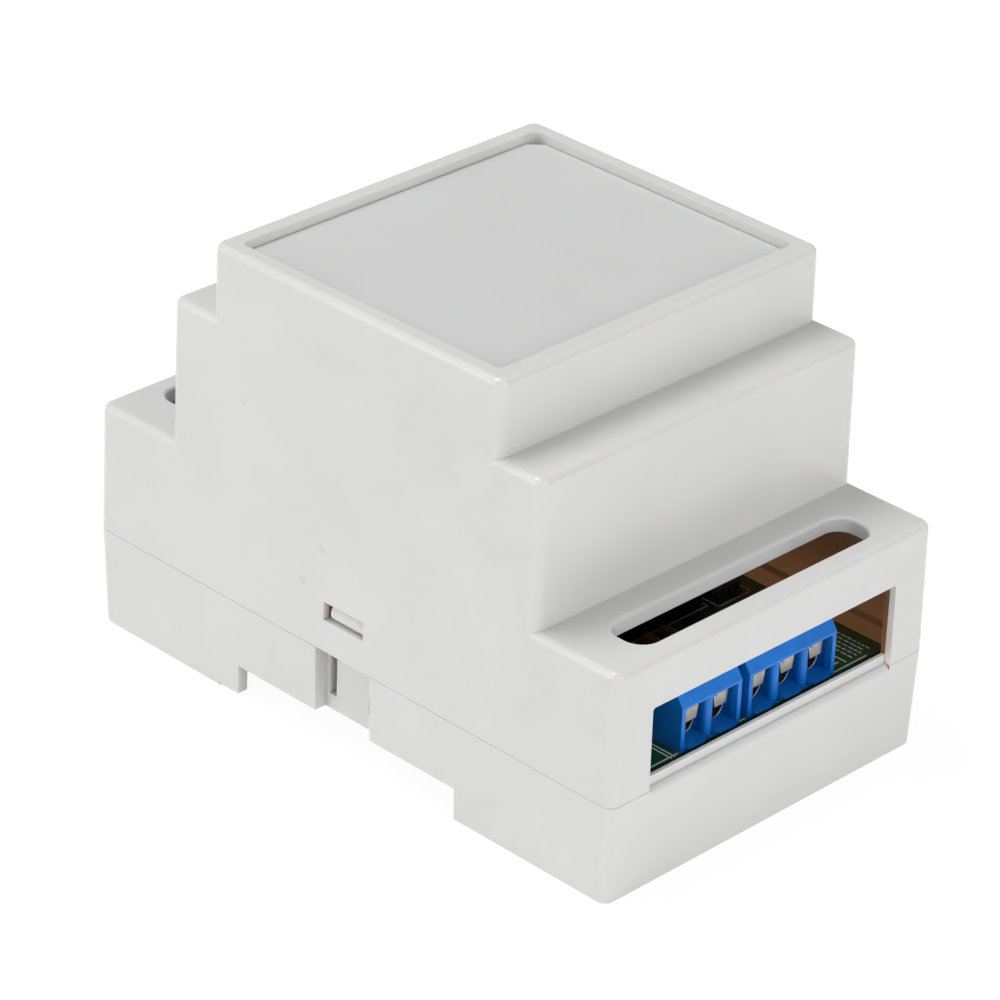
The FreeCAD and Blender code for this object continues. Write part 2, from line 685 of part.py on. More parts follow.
def terminal_housing(y0, count):
    """A moulded terminal block with a sloping brow, wire entries, sills and screw wells."""
    back, front = TERM_BACK_X, BOARD_X
    low, high = BOARD_TOP_Z, BOARD_TOP_Z + TERM_HEIGHT
    crease = low + TERM_CREASE
    body = prism([(back, y0, low), (front, y0, low), (front, y0, crease),
                  (front - TERM_SLOPE, y0, high), (back, y0, high)], (0, count * PITCH, 0))
    tools, sills = [], []
    for i in range(count):
        y = y0 + (i + 0.5) * PITCH
        tools.append(box(back + TERM_WALL, front - TERM_WALL, y - CAVITY_HALF, y + CAVITY_HALF,
                         low + TERM_FLOOR, low + CAVITY_TOP))
        entry = box(front - TERM_WALL - CLEAR, front + CLEAR, y - ENTRY_HALF, y + ENTRY_HALF,
                    low + TERM_FLOOR, low + ENTRY_TOP)
        tools.append(rounded(entry, ENTRY_EDGE_R, lambda e: lies_at(e, low + ENTRY_TOP)
                             and e.BoundBox.XLength > CLEAR))
        tools.append(post(TERM_HEAD_R + TERM_HEAD_GAP, SCREW_LINE_X, y, low + CAVITY_TOP - CLEAR,
                          high + CLEAR))
        tools.append(post(PIN_HOLE_R, SCREW_LINE_X, y, low - CLEAR, low + TERM_FLOOR + CLEAR))
        sill = box(front - CLEAR, front + SILL_REACH, y - SILL_HALF, y + SILL_HALF,
                   low + SILL_LIFT, low + TERM_FLOOR)
        sills.append(rounded(sill, SILL_R, lambda e: is_upright(e) and e.BoundBox.XMax > front))
    axis_x = front - DIVIDER_IN - DIVIDER_R
    for i in range(1, count):
        y = y0 + i * PITCH
        side = box(axis_x, front + CLEAR, y - DIVIDER_R, y + DIVIDER_R, low - CLEAR, low + ENTRY_TOP)
        tools.append(side.cut(post(DIVIDER_R, axis_x, y, low - CLEAR, low + ENTRY_TOP)))
    return joined([body.cut(Part.makeCompound(tools))] + sills)


def terminal_contact(y):
    """The tinned cage that the wire is clamped in, with its nut and solder pin."""
    axis_z = BOARD_TOP_Z + CONTACT_AXIS
    x0, x1 = SCREW_LINE_X - CONTACT_BACK, SCREW_LINE_X + CONTACT_FRONT
    outer = CONTACT_R + CONTACT_T
    nut_top = BOARD_TOP_Z + CONTACT_TOP
    nut_low = nut_top - NUT_T
    sleeve = ring_bar(outer, x0, x1, y, axis_z)
    sleeve = sleeve.fuse(box(x0, x1, y - outer, y + outer, axis_z, nut_top))
    bore = ring_bar(CONTACT_R, x0 - CLEAR, x1 + CLEAR, y, axis_z)
    bore = bore.fuse(box(x0 - CLEAR, x1 + CLEAR, y - CONTACT_R, y + CONTACT_R, axis_z, nut_low))
    pin = post(PIN_R, SCREW_LINE_X, y, BOARD_LOW_Z - PIN_STICKOUT, axis_z - CONTACT_R - CONTACT_T / 2)
    thread = post(TERM_SCREW_R + THREAD_GAP, SCREW_LINE_X, y, nut_low - CLEAR, nut_top + CLEAR)
    return sleeve.cut(bore).cut(thread).fuse(pin).removeSplitter()


def terminal_contacts():
    """The contacts of every pole."""
    return Part.makeCompound([placed(terminal_contact(y), end) for end, y in poles()])


def leaf_section(x, half, y, z):
    """A level cross-section of the leaf's brow."""
    x0, x1 = x - LEAF_T, x
    corners = [V(x0, y - half, z), V(x1, y - half, z), V(x1, y + half, z), V(x0, y + half, z)]
    return Part.makePolygon(corners + corners[:1])


def clamp_leaf(y):
    """The bent leaf under a screw: a pressing plate and a trapezoid brow that guides the wire."""
    z = BOARD_TOP_Z + LEAF_LEVEL
    back = SCREW_LINE_X - CONTACT_BACK + LEAF_BACK_GAP
    front = BOARD_X - LEAF_SETBACK
    plate = box(back, front, y - LEAF_HALF, y + LEAF_HALF, z, z + LEAF_T)
    brow = Part.makeLoft([leaf_section(front, LEAF_HALF, y, z),
                          leaf_section(front, LEAF_TOP_HALF, y, z + LEAF_RISE)], True, True)
    return joined([plate, brow])


def terminal_screw(y):
    """A slotted clamping screw with a chamfered tip."""
    x = SCREW_LINE_X
    top = BOARD_TOP_Z + TERM_HEIGHT - TERM_HEAD_DEPTH
    low = top - TERM_HEAD_H
    tip = BOARD_TOP_Z + LEAF_LEVEL + LEAF_T + THREAD_GAP
    screw = turned([(0, tip), (TERM_SCREW_R - TERM_TIP, tip), (TERM_SCREW_R, tip + TERM_TIP),
                    (TERM_SCREW_R, low), (TERM_HEAD_R, low), (TERM_HEAD_R, top - TERM_HEAD_EDGE),
                    (TERM_HEAD_R - TERM_HEAD_EDGE, top), (0, top)], x, y)
    slot = box(x - 2 * TERM_HEAD_R, x + 2 * TERM_HEAD_R, y - DRIVER_W / 2, y + DRIVER_W / 2,
               top - DRIVER_DEPTH, top + CLEAR)
    return screw.cut(slot)


def circuit_board():
    """The board with its tongue notches, fixing holes and pin holes."""
    board = box(-BOARD_X, BOARD_X, -BOARD_Y, BOARD_Y, BOARD_LOW_Z, BOARD_TOP_Z)
    board = rounded(board, BOARD_CORNER_R, is_upright)
    inner = TONGUE_Y - TONGUE_T - TONGUE_GAP
    notch_half = TONGUE_HALF + TONGUE_GAP
    tools = []
    for side in (-1, 1):
        tools.append(box(-notch_half, notch_half, *sorted((side * inner, side * WIDTH)), 0, HEIGHT))
        for end in (-1, 1):
            tools.append(post(BOARD_HOLE_R, end * POST_X, side * POST_Y, 0, HEIGHT))
    for end, y in poles():
        tools.append(post(PIN_HOLE_R, end * SCREW_LINE_X, y, 0, HEIGHT))
    return board.cut(Part.makeCompound(tools))


def board_screws():
    """Four pan-head screws into the base's posts."""
    top = BOARD_TOP_Z + SCREW_HEAD_H
    screws = []
    for end in (-1, 1):
        for side in (-1, 1):
            x, y = end * POST_X, side * POST_Y
            head = post(SCREW_HEAD_R, x, y, BOARD_TOP_Z, top)
            head = rounded(head, SCREW_HEAD_EDGE, lambda e: lies_at(e, top))
            shank = post(SCREW_R, x, y, BOARD_LOW_Z - SCREW_LENGTH + SCREW_TIP_GAP,
                         BOARD_TOP_Z + FUSE)
            cross = [box(x - a, x + a, y - b, y + b, top - CROSS_DEPTH, top + CLEAR)
                     for a, b in ((CROSS_HALF, CROSS_W / 2), (CROSS_W / 2, CROSS_HALF))]
            screws.append(joined([head, shank]).cut(Part.makeCompound(cross)))
    return Part.makeCompound(screws)


def package_ys():
    """The middles of the two power transistors."""
    middle = (SINK_LOW_Y + SINK_HIGH_Y) / 2
    return (middle - PACKAGE_PITCH / 2, middle + PACKAGE_PITCH / 2)


def heat_sink():
    """An extruded black heat sink: a plate with upright fins on one side."""
    z0, z1 = BOARD_TOP_Z, BOARD_TOP_Z + SINK_H
    fin_x = SINK_X + SINK_BASE_T
    pieces = [box(SINK_X, fin_x, SINK_LOW_Y, SINK_HIGH_Y, z0, z1)]
    pitch = (SINK_HIGH_Y - SINK_LOW_Y - SINK_FIN_T) / (SINK_FINS - 1)
    for i in range(SINK_FINS):
        y = SINK_LOW_Y + i * pitch
        pieces.append(box(SINK_X, fin_x + SINK_FIN_REACH, y, y + SINK_FIN_T, z0, z1))
    holes = [ring_bar(SCREW_R, SINK_X - CLEAR, fin_x + CLEAR, y, PACKAGE_HOLE_Z)
             for y in package_ys()]
    return cut(joined(pieces), holes)


def power_mosfets():
    """Two flat power transistors against the heat sink, standing on their leads."""
    parts = []
    z0 = BOARD_TOP_Z + PACKAGE_LIFT
    face = SINK_X - PACKAGE_TAB_T
    for y in package_ys():
        half = PACKAGE_W / 2
        tab = box(face, SINK_X, y - half, y + half, z0, z0 + PACKAGE_H)
        tab = tab.cut(ring_bar(PACKAGE_HOLE_R, face - CLEAR, SINK_X + CLEAR, y, PACKAGE_HOLE_Z))
        half -= PACKAGE_CASE_IN
        pieces = [tab, box(SINK_X - PACKAGE_T, face + FUSE, y - half, y + half, z0,
                           z0 + PACKAGE_BODY_H)]
        x = SINK_X - PACKAGE_T + LEAD_IN
        for i in (-1, 0, 1):
            lead_y = y + i * LEAD_PITCH
            pieces.append(box(x, x + LEAD_T, lead_y - LEAD_W / 2, lead_y + LEAD_W / 2,
                              BOARD_TOP_Z, z0 + FUSE))
        parts.append(joined(pieces))
    return Part.makeCompound(parts)


def mosfet_screws():
    """The two screws that hold the transistors to the heat sink."""
    seat = SINK_X - PACKAGE_TAB_T
    outer = seat - FIX_HEAD_T
    screws = []
    for y in package_ys():
        head = ring_bar(FIX_HEAD_R, outer, seat, y, PACKAGE_HOLE_Z)
        shank = ring_bar(SCREW_R - THREAD_GAP, seat - FUSE, SINK_X + SINK_BASE_T - FIX_TIP_GAP, y,
                         PACKAGE_HOLE_Z)
        slot = box(outer - CLEAR, outer + FIX_SLOT_DEPTH, y - FIX_SLOT_W / 2, y + FIX_SLOT_W / 2,
                   PACKAGE_HOLE_Z - 2 * FIX_HEAD_R, PACKAGE_HOLE_Z + 2 * FIX_HEAD_R)
        screws.append(joined([head, shank]).cut(slot))
    return Part.makeCompound(screws)


def bulk_capacitors():
    """Two upright can capacitors with a rolled groove at the foot."""
    z, groove = BOARD_TOP_Z, BOARD_TOP_Z + CAP_GROOVE_Z
    profile = [(0, z), (CAP_R, z), (CAP_R, groove - CAP_GROOVE_HALF), (CAP_R - CAP_GROOVE, groove),
               (CAP_R, groove + CAP_GROOVE_HALF), (CAP_R, z + CAP_H - CAP_EDGE),
               (CAP_R - CAP_EDGE, z + CAP_H), (0, z + CAP_H)]
    return Part.makeCompound([turned(profile, CAP_X, y) for y in (-CAP_PITCH / 2, CAP_PITCH / 2)])


def buck_inductor():
    """A drum choke: two flanges with a waist between."""
    z, top = BOARD_TOP_Z, BOARD_TOP_Z + CHOKE_H
    waist = CHOKE_R - CHOKE_WAIST
    inner = CHOKE_FLANGE + CHOKE_TAPER
    profile = [(0, z), (CHOKE_R, z), (CHOKE_R, z + CHOKE_FLANGE), (waist, z + inner),
               (waist, top - inner), (CHOKE_R, top - CHOKE_FLANGE), (CHOKE_R, top), (0, top)]
    return turned(profile, CHOKE_X, CHOKE_Y)


def chip(length, width, height, leads, pitch):
    """A flat chip along X, at the origin, with bent leads on its two long sides."""
    z = BOARD_TOP_Z
    body = box(-length / 2, length / 2, -width / 2, width / 2, z + CHIP_STANDOFF, z + height)
    pieces = [rounded(body, CHIP_EDGE_R, lambda e: lies_at(e, z + height))]
    t, half = CHIP_LEAD_T, CHIP_LEAD_W / 2
    shoulder = z + height / 2
    for side in (-1, 1):
        root, knee = side * (width / 2 - t), side * (width / 2 + CHIP_KNEE)
        toe = side * (width / 2 + CHIP_LEAD)
        for i in range(leads):
            x = (i - (leads - 1) / 2) * pitch
            for y0, y1, z0, z1 in ((root, knee, shoulder, shoulder + t),
                                   (knee, knee - side * t, z, shoulder + t),
                                   (knee - side * t, toe, z, z + t)):
                pieces.append(box(x - half, x + half, *sorted((y0, y1)), z0, z1))
    return joined(pieces)


def small_chips():
    """The flat chips, each under its own name."""
    small = (SMALL_CHIP_L, SMALL_CHIP_W, SMALL_CHIP_H, SMALL_CHIP_LEAD_COUNT, CHIP_PITCH)
    bus = chip(*small)
    bus.rotate(V(0, 0, 0), UP, 90)
    control = chip(CONTROL_CHIP_L, CONTROL_CHIP_W, CONTROL_CHIP_H, CONTROL_CHIP_LEAD_COUNT, CHIP_PITCH)
    regulator = chip(REGULATOR_L, REGULATOR_W, REGULATOR_H, REGULATOR_LEAD_COUNT, REGULATOR_PITCH)
    places = {"bus_transceiver": (bus, BUS_CHIP_X, BOARD_Y - BUS_CHIP_SIDE),
              "microcontroller": (control, CONTROL_CHIP_X, CONTROL_CHIP_Y),
              "gate_driver": (chip(*small), DRIVER_CHIP_X, DRIVER_CHIP_SIDE - BOARD_Y),
              "voltage_regulator": (regulator, REGULATOR_X, BOARD_Y - REGULATOR_SIDE)}
    return {name: shape.translated(V(x, y, 0)) for name, (shape, x, y) in places.items()}


def freewheel_diode():
    """An axial diode lying over the board on its two bent leads."""
    y, z = DIODE_SIDE - BOARD_Y, BOARD_TOP_Z + DIODE_R + DIODE_LIFT
    ends = (DIODE_X - DIODE_WIRE_L, DIODE_X + DIODE_L + DIODE_WIRE_L)
    body = ring_bar(DIODE_R, DIODE_X, DIODE_X + DIODE_L, y, z)
    wire = ring_bar(DIODE_WIRE_R, *ends, y, z)
    bends = [Part.makeSphere(DIODE_WIRE_R, V(x, y, z)) for x in ends]
    legs = [post(DIODE_WIRE_R, x, y, BOARD_TOP_Z, z) for x in ends]
    return joined([body, wire] + bends + legs)


def shunt_resistor():
    """A bridge of thick resistance strip on two feet."""
    y, z, top = SHUNT_SIDE - BOARD_Y, BOARD_TOP_Z, BOARD_TOP_Z + SHUNT_H
    end = SHUNT_X + SHUNT_L
    strip = box(SHUNT_X, end, y - SHUNT_W / 2, y + SHUNT_W / 2, z, top)
    strip = rounded(strip, SHUNT_R, lambda e: lies_at(e, top) and e.BoundBox.XLength < SHUNT_T)
    return strip.cut(box(SHUNT_X + SHUNT_T, end - SHUNT_T, y - SHUNT_W, y + SHUNT_W, z - CLEAR,
                         top - SHUNT_T))


def small_blocks(places, height):
    """Two-ended chip parts at their places on the board."""
    z = BOARD_TOP_Z
    return Part.makeCompound([box(x - BLOCK_L / 2, x + BLOCK_L / 2, y - BLOCK_W / 2,
                                  y + BLOCK_W / 2, z, z + height) for x, y in places])


def block_columns():
    """The two lines along Y, beside the fins and beside the signal terminals."""
    fins = SINK_X + SINK_BASE_T + SINK_FIN_REACH
    return (fins + BLOCK_SINK_GAP + BLOCK_L / 2, TERM_BACK_X - BLOCK_TERM_GAP - BLOCK_L / 2)


def chip_resistors():
    """Chip resistors beside the terminals and in a row along the board's edge."""
    columns = [(x, BLOCK_LOW_Y + i * BLOCK_STEP) for x in block_columns() for i in range(3)]
    row = [(BLOCK_ROW_X + i * BLOCK_STEP, BLOCK_SIDE - BOARD_Y) for i in range(4)]
    return small_blocks(columns + row, RESISTOR_H)


def chip_capacitors():
    """Chip capacitors at the terminals, the controller chip and the regulator."""
    chip_half = CONTROL_CHIP_W / 2 + CHIP_LEAD + BLOCK_CHIP_GAP + BLOCK_W / 2
    terminal_side = [(x, BLOCK_HIGH_Y + i * BLOCK_STEP) for x in block_columns() for i in range(2)]
    chip_side = [(CONTROL_CHIP_X + i * BLOCK_STEP, CONTROL_CHIP_Y + chip_half) for i in (-1, 0, 1)]
    chip_side += [(CONTROL_CHIP_X + i * BLOCK_STEP, CONTROL_CHIP_Y - chip_half) for i in (0, 1)]
    edge_y = BOARD_Y - REGULATOR_SIDE
    reach = REGULATOR_L / 2 + BLOCK_STEP / 2 + BLOCK_L / 2
    regulator_side = [(REGULATOR_X - reach, edge_y), (REGULATOR_X + reach, edge_y)]
    return small_blocks(terminal_side + chip_side + regulator_side, CAPACITOR_H)


def crystal():
    """A low crystal can with round ends."""
    can = rounded_block(CRYSTAL_HALF_L, CRYSTAL_HALF_W, CRYSTAL_END_R, BOARD_TOP_Z,
                        BOARD_TOP_Z + CRYSTAL_H)
    return can.translated(V(CRYSTAL_X, 0, 0))


def status_led():
    """A small domed lamp."""
    z, dome = BOARD_TOP_Z, BOARD_TOP_Z + LAMP_H
    return joined([post(LAMP_FLANGE_R, 0, LAMP_Y, z, z + LAMP_FLANGE_H),
                   post(LAMP_R, 0, LAMP_Y, z, dome), Part.makeSphere(LAMP_R, V(0, LAMP_Y, dome))])


def programming_header():
    """A two-row pin header."""
    z, p, half = BOARD_TOP_Z, HEADER_PITCH, HEADER_PIN_W / 2
    pieces = [box(HEADER_X, HEADER_X + 2 * p, HEADER_Y, HEADER_Y + HEADER_ROWS * p, z,
                  z + HEADER_BLOCK_H)]
    for i in range(2):
        for k in range(HEADER_ROWS):
            x, y = HEADER_X + (i + 0.5) * p, HEADER_Y + (k + 0.5) * p
            pieces.append(box(x - half, x + half, y - half, y + half, z, z + HEADER_PIN_H))
    return joined(pieces)



def every_part():
    """Every sub-part by its name."""
    parts = {
        "base_shell": base_shell(), "snap_tongues": snap_tongues(), "rail_clip": rail_clip(),
        "clip_spring": clip_spring(), "circuit_board": circuit_board(),
        "board_screws": board_screws(), "terminal_contacts": terminal_contacts(),
        "heat_sink": heat_sink(), "power_mosfets": power_mosfets(),
        "mosfet_screws": mosfet_screws(), "bulk_capacitors": bulk_capacitors(),
        "buck_inductor": buck_inductor(), "freewheel_diode": freewheel_diode(),
        "shunt_resistor": shunt_resistor(), "chip_resistors": chip_resistors(),
        "chip_capacitors": chip_capacitors(), "crystal": crystal(), "status_led": status_led(),
        "programming_header": programming_header(), "top_cover": top_cover(),
        "top_plate": top_plate(),
    }
    parts.update(small_chips())
    for name, end, y0, count in block_starts():
        parts[name + "_housing"] = placed(terminal_housing(y0, count), end)
    for number, (end, y) in enumerate(poles(), 1):
        parts["clamp_leaf_%d" % number] = placed(clamp_leaf(y), end)
        parts["terminal_screw_%d" % number] = placed(terminal_screw(y), end)
    return parts


os.makedirs("parts", exist_ok=True)
for node, shape in every_part().items():
    solids = shape.Solids
    valid = all(s.isValid() and s.Volume > 0 for s in solids)
    print(node, len(solids), round(sum(s.Volume for s in solids), 1), "valid" if valid else "BROKEN")
    shape.exportStep("parts/%s.step" % node)
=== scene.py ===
"""The finish of a boxed DC motor speed controller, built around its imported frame."""

import json
import math
import random

import bmesh
import bpy
from mathutils import Matrix, Vector


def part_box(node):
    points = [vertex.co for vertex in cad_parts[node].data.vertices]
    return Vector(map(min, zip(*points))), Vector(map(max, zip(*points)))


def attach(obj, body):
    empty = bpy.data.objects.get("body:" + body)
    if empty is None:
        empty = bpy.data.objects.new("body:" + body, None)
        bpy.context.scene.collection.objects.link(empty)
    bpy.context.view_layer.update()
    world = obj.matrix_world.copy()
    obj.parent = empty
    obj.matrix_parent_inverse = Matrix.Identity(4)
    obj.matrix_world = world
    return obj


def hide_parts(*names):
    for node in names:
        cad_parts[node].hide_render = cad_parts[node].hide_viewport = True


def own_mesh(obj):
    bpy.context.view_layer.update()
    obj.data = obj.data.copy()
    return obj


bl_info = {
    "name": "DC Motor Speed Controller",
    "version": (1, 0, 0),
    "blender": (4, 5, 0),
    "location": "View3D > Sidebar > Controller",
    "description": "Dresses the enclosure, board and terminals of a DC motor speed controller",
    "category": "Object",
}

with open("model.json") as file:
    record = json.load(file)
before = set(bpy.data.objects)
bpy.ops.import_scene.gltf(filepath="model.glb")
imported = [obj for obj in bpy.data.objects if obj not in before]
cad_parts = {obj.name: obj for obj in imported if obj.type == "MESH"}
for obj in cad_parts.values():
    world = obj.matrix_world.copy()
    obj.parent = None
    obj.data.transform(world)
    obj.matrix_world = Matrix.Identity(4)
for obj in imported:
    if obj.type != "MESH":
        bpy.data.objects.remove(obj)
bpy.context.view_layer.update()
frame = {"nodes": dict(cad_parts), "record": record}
NODES = frame["nodes"]
BEHAVIOUR = frame["record"]["behaviour"]
BODY_OF = {node: body for body, members in BEHAVIOUR["bodies"].items() for node in members}
HOUSINGS = sorted(node for node in NODES if node.endswith("_housing"))
LEAVES = sorted(node for node in NODES if node.startswith("clamp_leaf"))
SCREWS = sorted(node for node in NODES if node.startswith("terminal_screw"))
MM = 0.001

# Places read from the frame
COVER_LOW, COVER_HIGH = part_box("top_cover")
BASE_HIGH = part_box("base_shell")[1]
BOARD_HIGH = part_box("circuit_board")[1]
BOARD_X, BOARD_Z = BOARD_HIGH.x, BOARD_HIGH.z

# A face runs along an axis where its normal's share of that axis is below the first value,
# faces it where the share is above the second, and is level where the share is above the third
ALONG, FACING, LEVEL = 0.3, 0.5, 0.99

# The cover's openings, and how far from them and how deep their sides are looked for
WINDOW_HALF, WINDOW_TOP, NEAR_WINDOW, WINDOW_DEPTH = 20.9 * MM, 24.2 * MM, 0.4 * MM, 1.8 * MM
SNAP_HALF, SNAP_LOW, SNAP_HIGH = 3.4 * MM, 17.5 * MM, 20.0 * MM
NEAR_SNAP, SNAP_DEPTH = 0.1 * MM, 1.7 * MM
# The outer strip of an opening's sides; on the windows it has painted light for the light that
# comes through the wall
REVEAL = 0.95 * MM
# A cover's face that lies deeper than this behind its side, its end and its roof is an inner one
SIDE_SKIN, END_SKIN, ROOF_SKIN = 1.55 * MM, 1.45 * MM, 1.95 * MM
# A storey's roof is larger than this, and its length is read this far above the one below
ROOF_AREA, STOREY_RISE = 60 * MM * MM, 0.2 * MM

# The heights between which the inner faces' painted shade turns pale, and between which the painted
# light they give out dies away
WARM_TO, PALE_FROM = 22 * MM, 36 * MM
GLOW_TO, GLOW_GONE = 16 * MM, 29 * MM
PAINTED_GLOW_STRENGTH = 0.165
# Dark grains in the cover's skin as place and radius, the share of the radius that is darkest,
# and what is left there of the skin's tone
SPECKS = ((Vector((-0.0040, -0.0269, 0.0268)), 0.75 * MM),
          (Vector((-0.0180, -0.0267, 0.0408)), 0.60 * MM),
          (Vector((-0.0070, -0.0269, 0.0214)), 0.80 * MM))
SPECK_CORE, SPECK_TONE = 0.3, 0.91

# The base's upstands: their reach across, the lowest inner face and the lowest top
UPSTAND_NEAR, UPSTAND_FAR = 20 * MM, BASE_HIGH.y - 1.8 * MM
UPSTAND_LOW, RIDGE_LOW = 9.0 * MM, 14.5 * MM
# The openings that the snap tongues stand in: their half width in the solid and here, and how
# far from the middle they start
GAP_HALF, WIDE_GAP_HALF, GAP_NEAR = 3.4 * MM, 3.95 * MM, 23.9 * MM
# The tongues' bumps: how far sideways a bump's foot is looked for, its new half length, and how
# much further out and higher it reaches
BUMP_REACH, LONG_BUMP_HALF = 2.4 * MM, 3.3 * MM
BUMP_OUT_SHARE, BUMP_HEIGHT_SHARE = 1.15, 1.06
# A vertex this near to an opening's side, or to a tongue's outer face, lies on it
ON_GAP, ON_BLADE = 0.02 * MM, 0.01 * MM

# The terminals' wire entries: where their tops lie above the board and about its end's edge
ENTRY_LOW, ENTRY_HIGH = 4.8 * MM, 5.25 * MM
ENTRY_BACK, ENTRY_FRONT = BOARD_X - 1.2 * MM, BOARD_X + 0.1 * MM
ENTRY_RISE, ENTRY_SOFTNESS = 0.5 * MM, 0.07 * MM
# The leaves' brows: the depth of their top edge, how far it is lifted and how it is rounded
BROW_EDGE, BROW_RISE, BROW_SOFTNESS = 0.1 * MM, 0.45 * MM, 0.05 * MM
# The contact cages' lips: height above the board, and the radii of the mouth and of the roll
LIP_RISE, MOUTH_R, ROLL_R = 2.45 * MM, 1.61 * MM, 0.11 * MM

# Turns at which a merged mesh is flat, is shaded sharp and is rounded by a bevel
FLAT_TURN, SHARP_TURN, BEVEL_TURN = math.radians(1), math.radians(28), math.radians(40)
# Vertices nearer than the first are one; edges shorter than the second are dropped
WELD, SHORTEST = 0.002 * MM, 0.001 * MM


def linear(hex_colour):
    """An sRGB hex colour as linear red, green, blue and alpha."""
    parts = [int(hex_colour[i:i + 2], 16) / 255 for i in (1, 3, 5)]
    return [c / 12.92 if c <= 0.04045 else ((c + 0.055) / 1.055) ** 2.4 for c in parts] + [1.0]


def darker(tone, share):
    """A linear colour with this share of its light."""
    return [c * share for c in tone[:3]] + [1.0]


def colour(name, description, hex_colour):
    """A colour property with a default from an sRGB hex value."""
    return bpy.props.FloatVectorProperty(name=name, description=description, subtype="COLOR",
                                         size=4, min=0, max=1, default=linear(hex_colour))


def length(name, description, default):
    """A length property in metres."""
    return bpy.props.FloatProperty(name=name, description=description, default=default,
                                   subtype="DISTANCE", unit="LENGTH", precision=5)


def angle(name, description, degrees):
    """An angle property with its default in degrees."""
    return bpy.props.FloatProperty(name=name, description=description, subtype="ANGLE",
                                   default=math.radians(degrees))


class EnclosureFinish(bpy.types.PropertyGroup):
    """Colours of the moulded enclosure, several of them painted shade and painted light."""

    shell: colour("Shell", "Light warm grey of the moulded cover and base", "#D9D9D8")
    shell_shade: colour("Shell shade", "Slightly darker drift of the same plastic", "#D6D6D5")
    lid: colour("Lid", "Neutral grey of the plate in the top recess", "#D2D2D2")
    # Painted shade: the dark warm brown that shade and the light through the thin walls give the
    # inner faces low in the enclosure
    inside: colour("Inside", "Warm tone of the inner faces low in the enclosure", "#5F442B")
    inside_painted_shade_drift: colour("Inside drift", "Paler drift of the same warm tone", "#6A4A2C")
    # Painted light: the inner faces give out this light low down, in place of the light that comes
    # warm through the thin walls
    painted_glow: colour("Glow", "Light that comes warm through the thin walls", "#C08458")
    # Painted light: the upstand's top is painted a warm pale tone for the warm light that falls on
    # it behind the windows
    painted_light_ridge: colour("Ridge", "Top of the upstand, in the warm light behind the windows", "#C9A37A")
    # Painted light: the windows' sides are painted nearly white for the light that comes through
    # the thin wall
    painted_light_edge: colour("Thin edge", "Sides of the windows, where light comes through", "#FBF4EB")


class BoardFinish(bpy.types.PropertyGroup):
    """Colours and sizes of the circuit board and its print."""

    mask: colour("Solder mask", "Dark green lacquer of the board", "#0E4628")
    mask_trace: colour("Trace", "Lighter green where copper lies under the lacquer", "#14502F")
    print_ink: colour("Print", "White ink of the plain marks", "#DDE2DD")
    print_shade: colour("Print shade", "Thinner places in the ink", "#CBD2CB")
    line: length("Line", "Width of a printed line", 0.18 * MM)
    ink: length("Ink", "Thickness of the printed ink", 0.03 * MM)


class TerminalFinish(bpy.types.PropertyGroup):
    """Colours of the screw terminals."""

    housing: colour("Housing", "Blue of the moulded terminal blocks", "#0077D8")
    metal: colour("Metal", "Plated contacts, leaves and screws", "#C9C6C0")


class StageSettings(bpy.types.PropertyGroup):
    """The camera's place and the floor's colour."""

    azimuth: angle("Azimuth", "Camera's turn about the object", 43.884)
    elevation: angle("Elevation", "Camera's height angle", 28.776)
    roll: angle("Roll", "Camera's turn about its own axis", 2.271)
    distance: length("Distance", "From the camera to its target", 0.556843)
    lens: bpy.props.FloatProperty(name="Lens", description="Focal length in millimetres",
                                  default=165.916)
    floor: colour("Floor", "Pale floor and backdrop", "#FFFFFF")


class ControllerLook(bpy.types.PropertyGroup):
    """All settings of the look."""

    enclosure: bpy.props.PointerProperty(type=EnclosureFinish, name="Enclosure",
                                         description="The moulded enclosure")
    board: bpy.props.PointerProperty(type=BoardFinish, name="Board",
                                     description="The circuit board")
    terminals: bpy.props.PointerProperty(type=TerminalFinish, name="Terminals",
                                         description="The screw terminals")
    stage: bpy.props.PointerProperty(type=StageSettings, name="Stage",
                                     description="Camera and floor")


def settings():
    """The scene's own settings."""
    return bpy.context.scene.controller_look


def feed(tree, node, inputs):
    """Give a node's sockets their values, or links from other nodes' outputs."""
    for key, value in inputs.items():
        if isinstance(value, bpy.types.NodeSocket):
            tree.links.new(value, node.inputs[key])
        else:
            node.inputs[key].default_value = value


def add(tree, kind, inputs=None, **values):
    """Add one shader node with its settings, and feed its sockets."""
    made = tree.nodes.new(kind)
    for key, value in values.items():
        setattr(made, key, value)
    feed(tree, made, inputs or {})
    return made


def new_material(name):
    """A plain material, its tree, its shader and its object coordinates."""
    material = bpy.data.materials.new(name)
    material.use_nodes = True
    tree = material.node_tree
    tree.nodes.clear()
    shader = add(tree, "ShaderNodeBsdfPrincipled")
    add(tree, "ShaderNodeOutputMaterial", {"Surface": shader.outputs["BSDF"]})
    return material, tree, shader, add(tree, "ShaderNodeTexCoord").outputs["Object"]


def per_mm(size_mm):
    """A texture scale whose features are about this many millimetres across."""
    return 1 / (size_mm * MM)


def mottled(tree, place, low, high, size_mm):
    """A colour that drifts between two tones over a real distance."""
    noise = add(tree, "ShaderNodeTexNoise", {"Vector": place, "Scale": per_mm(size_mm),
                                             "Detail": 3.0})
    ramp = add(tree, "ShaderNodeMapRange", {"Value": noise.outputs["Fac"],
                                            "From Min": 0.35, "From Max": 0.65})
    mix = add(tree, "ShaderNodeMix", {"Factor": ramp.outputs["Result"], 6: low, 7: high},
              data_type="RGBA")
    return mix.outputs[2]


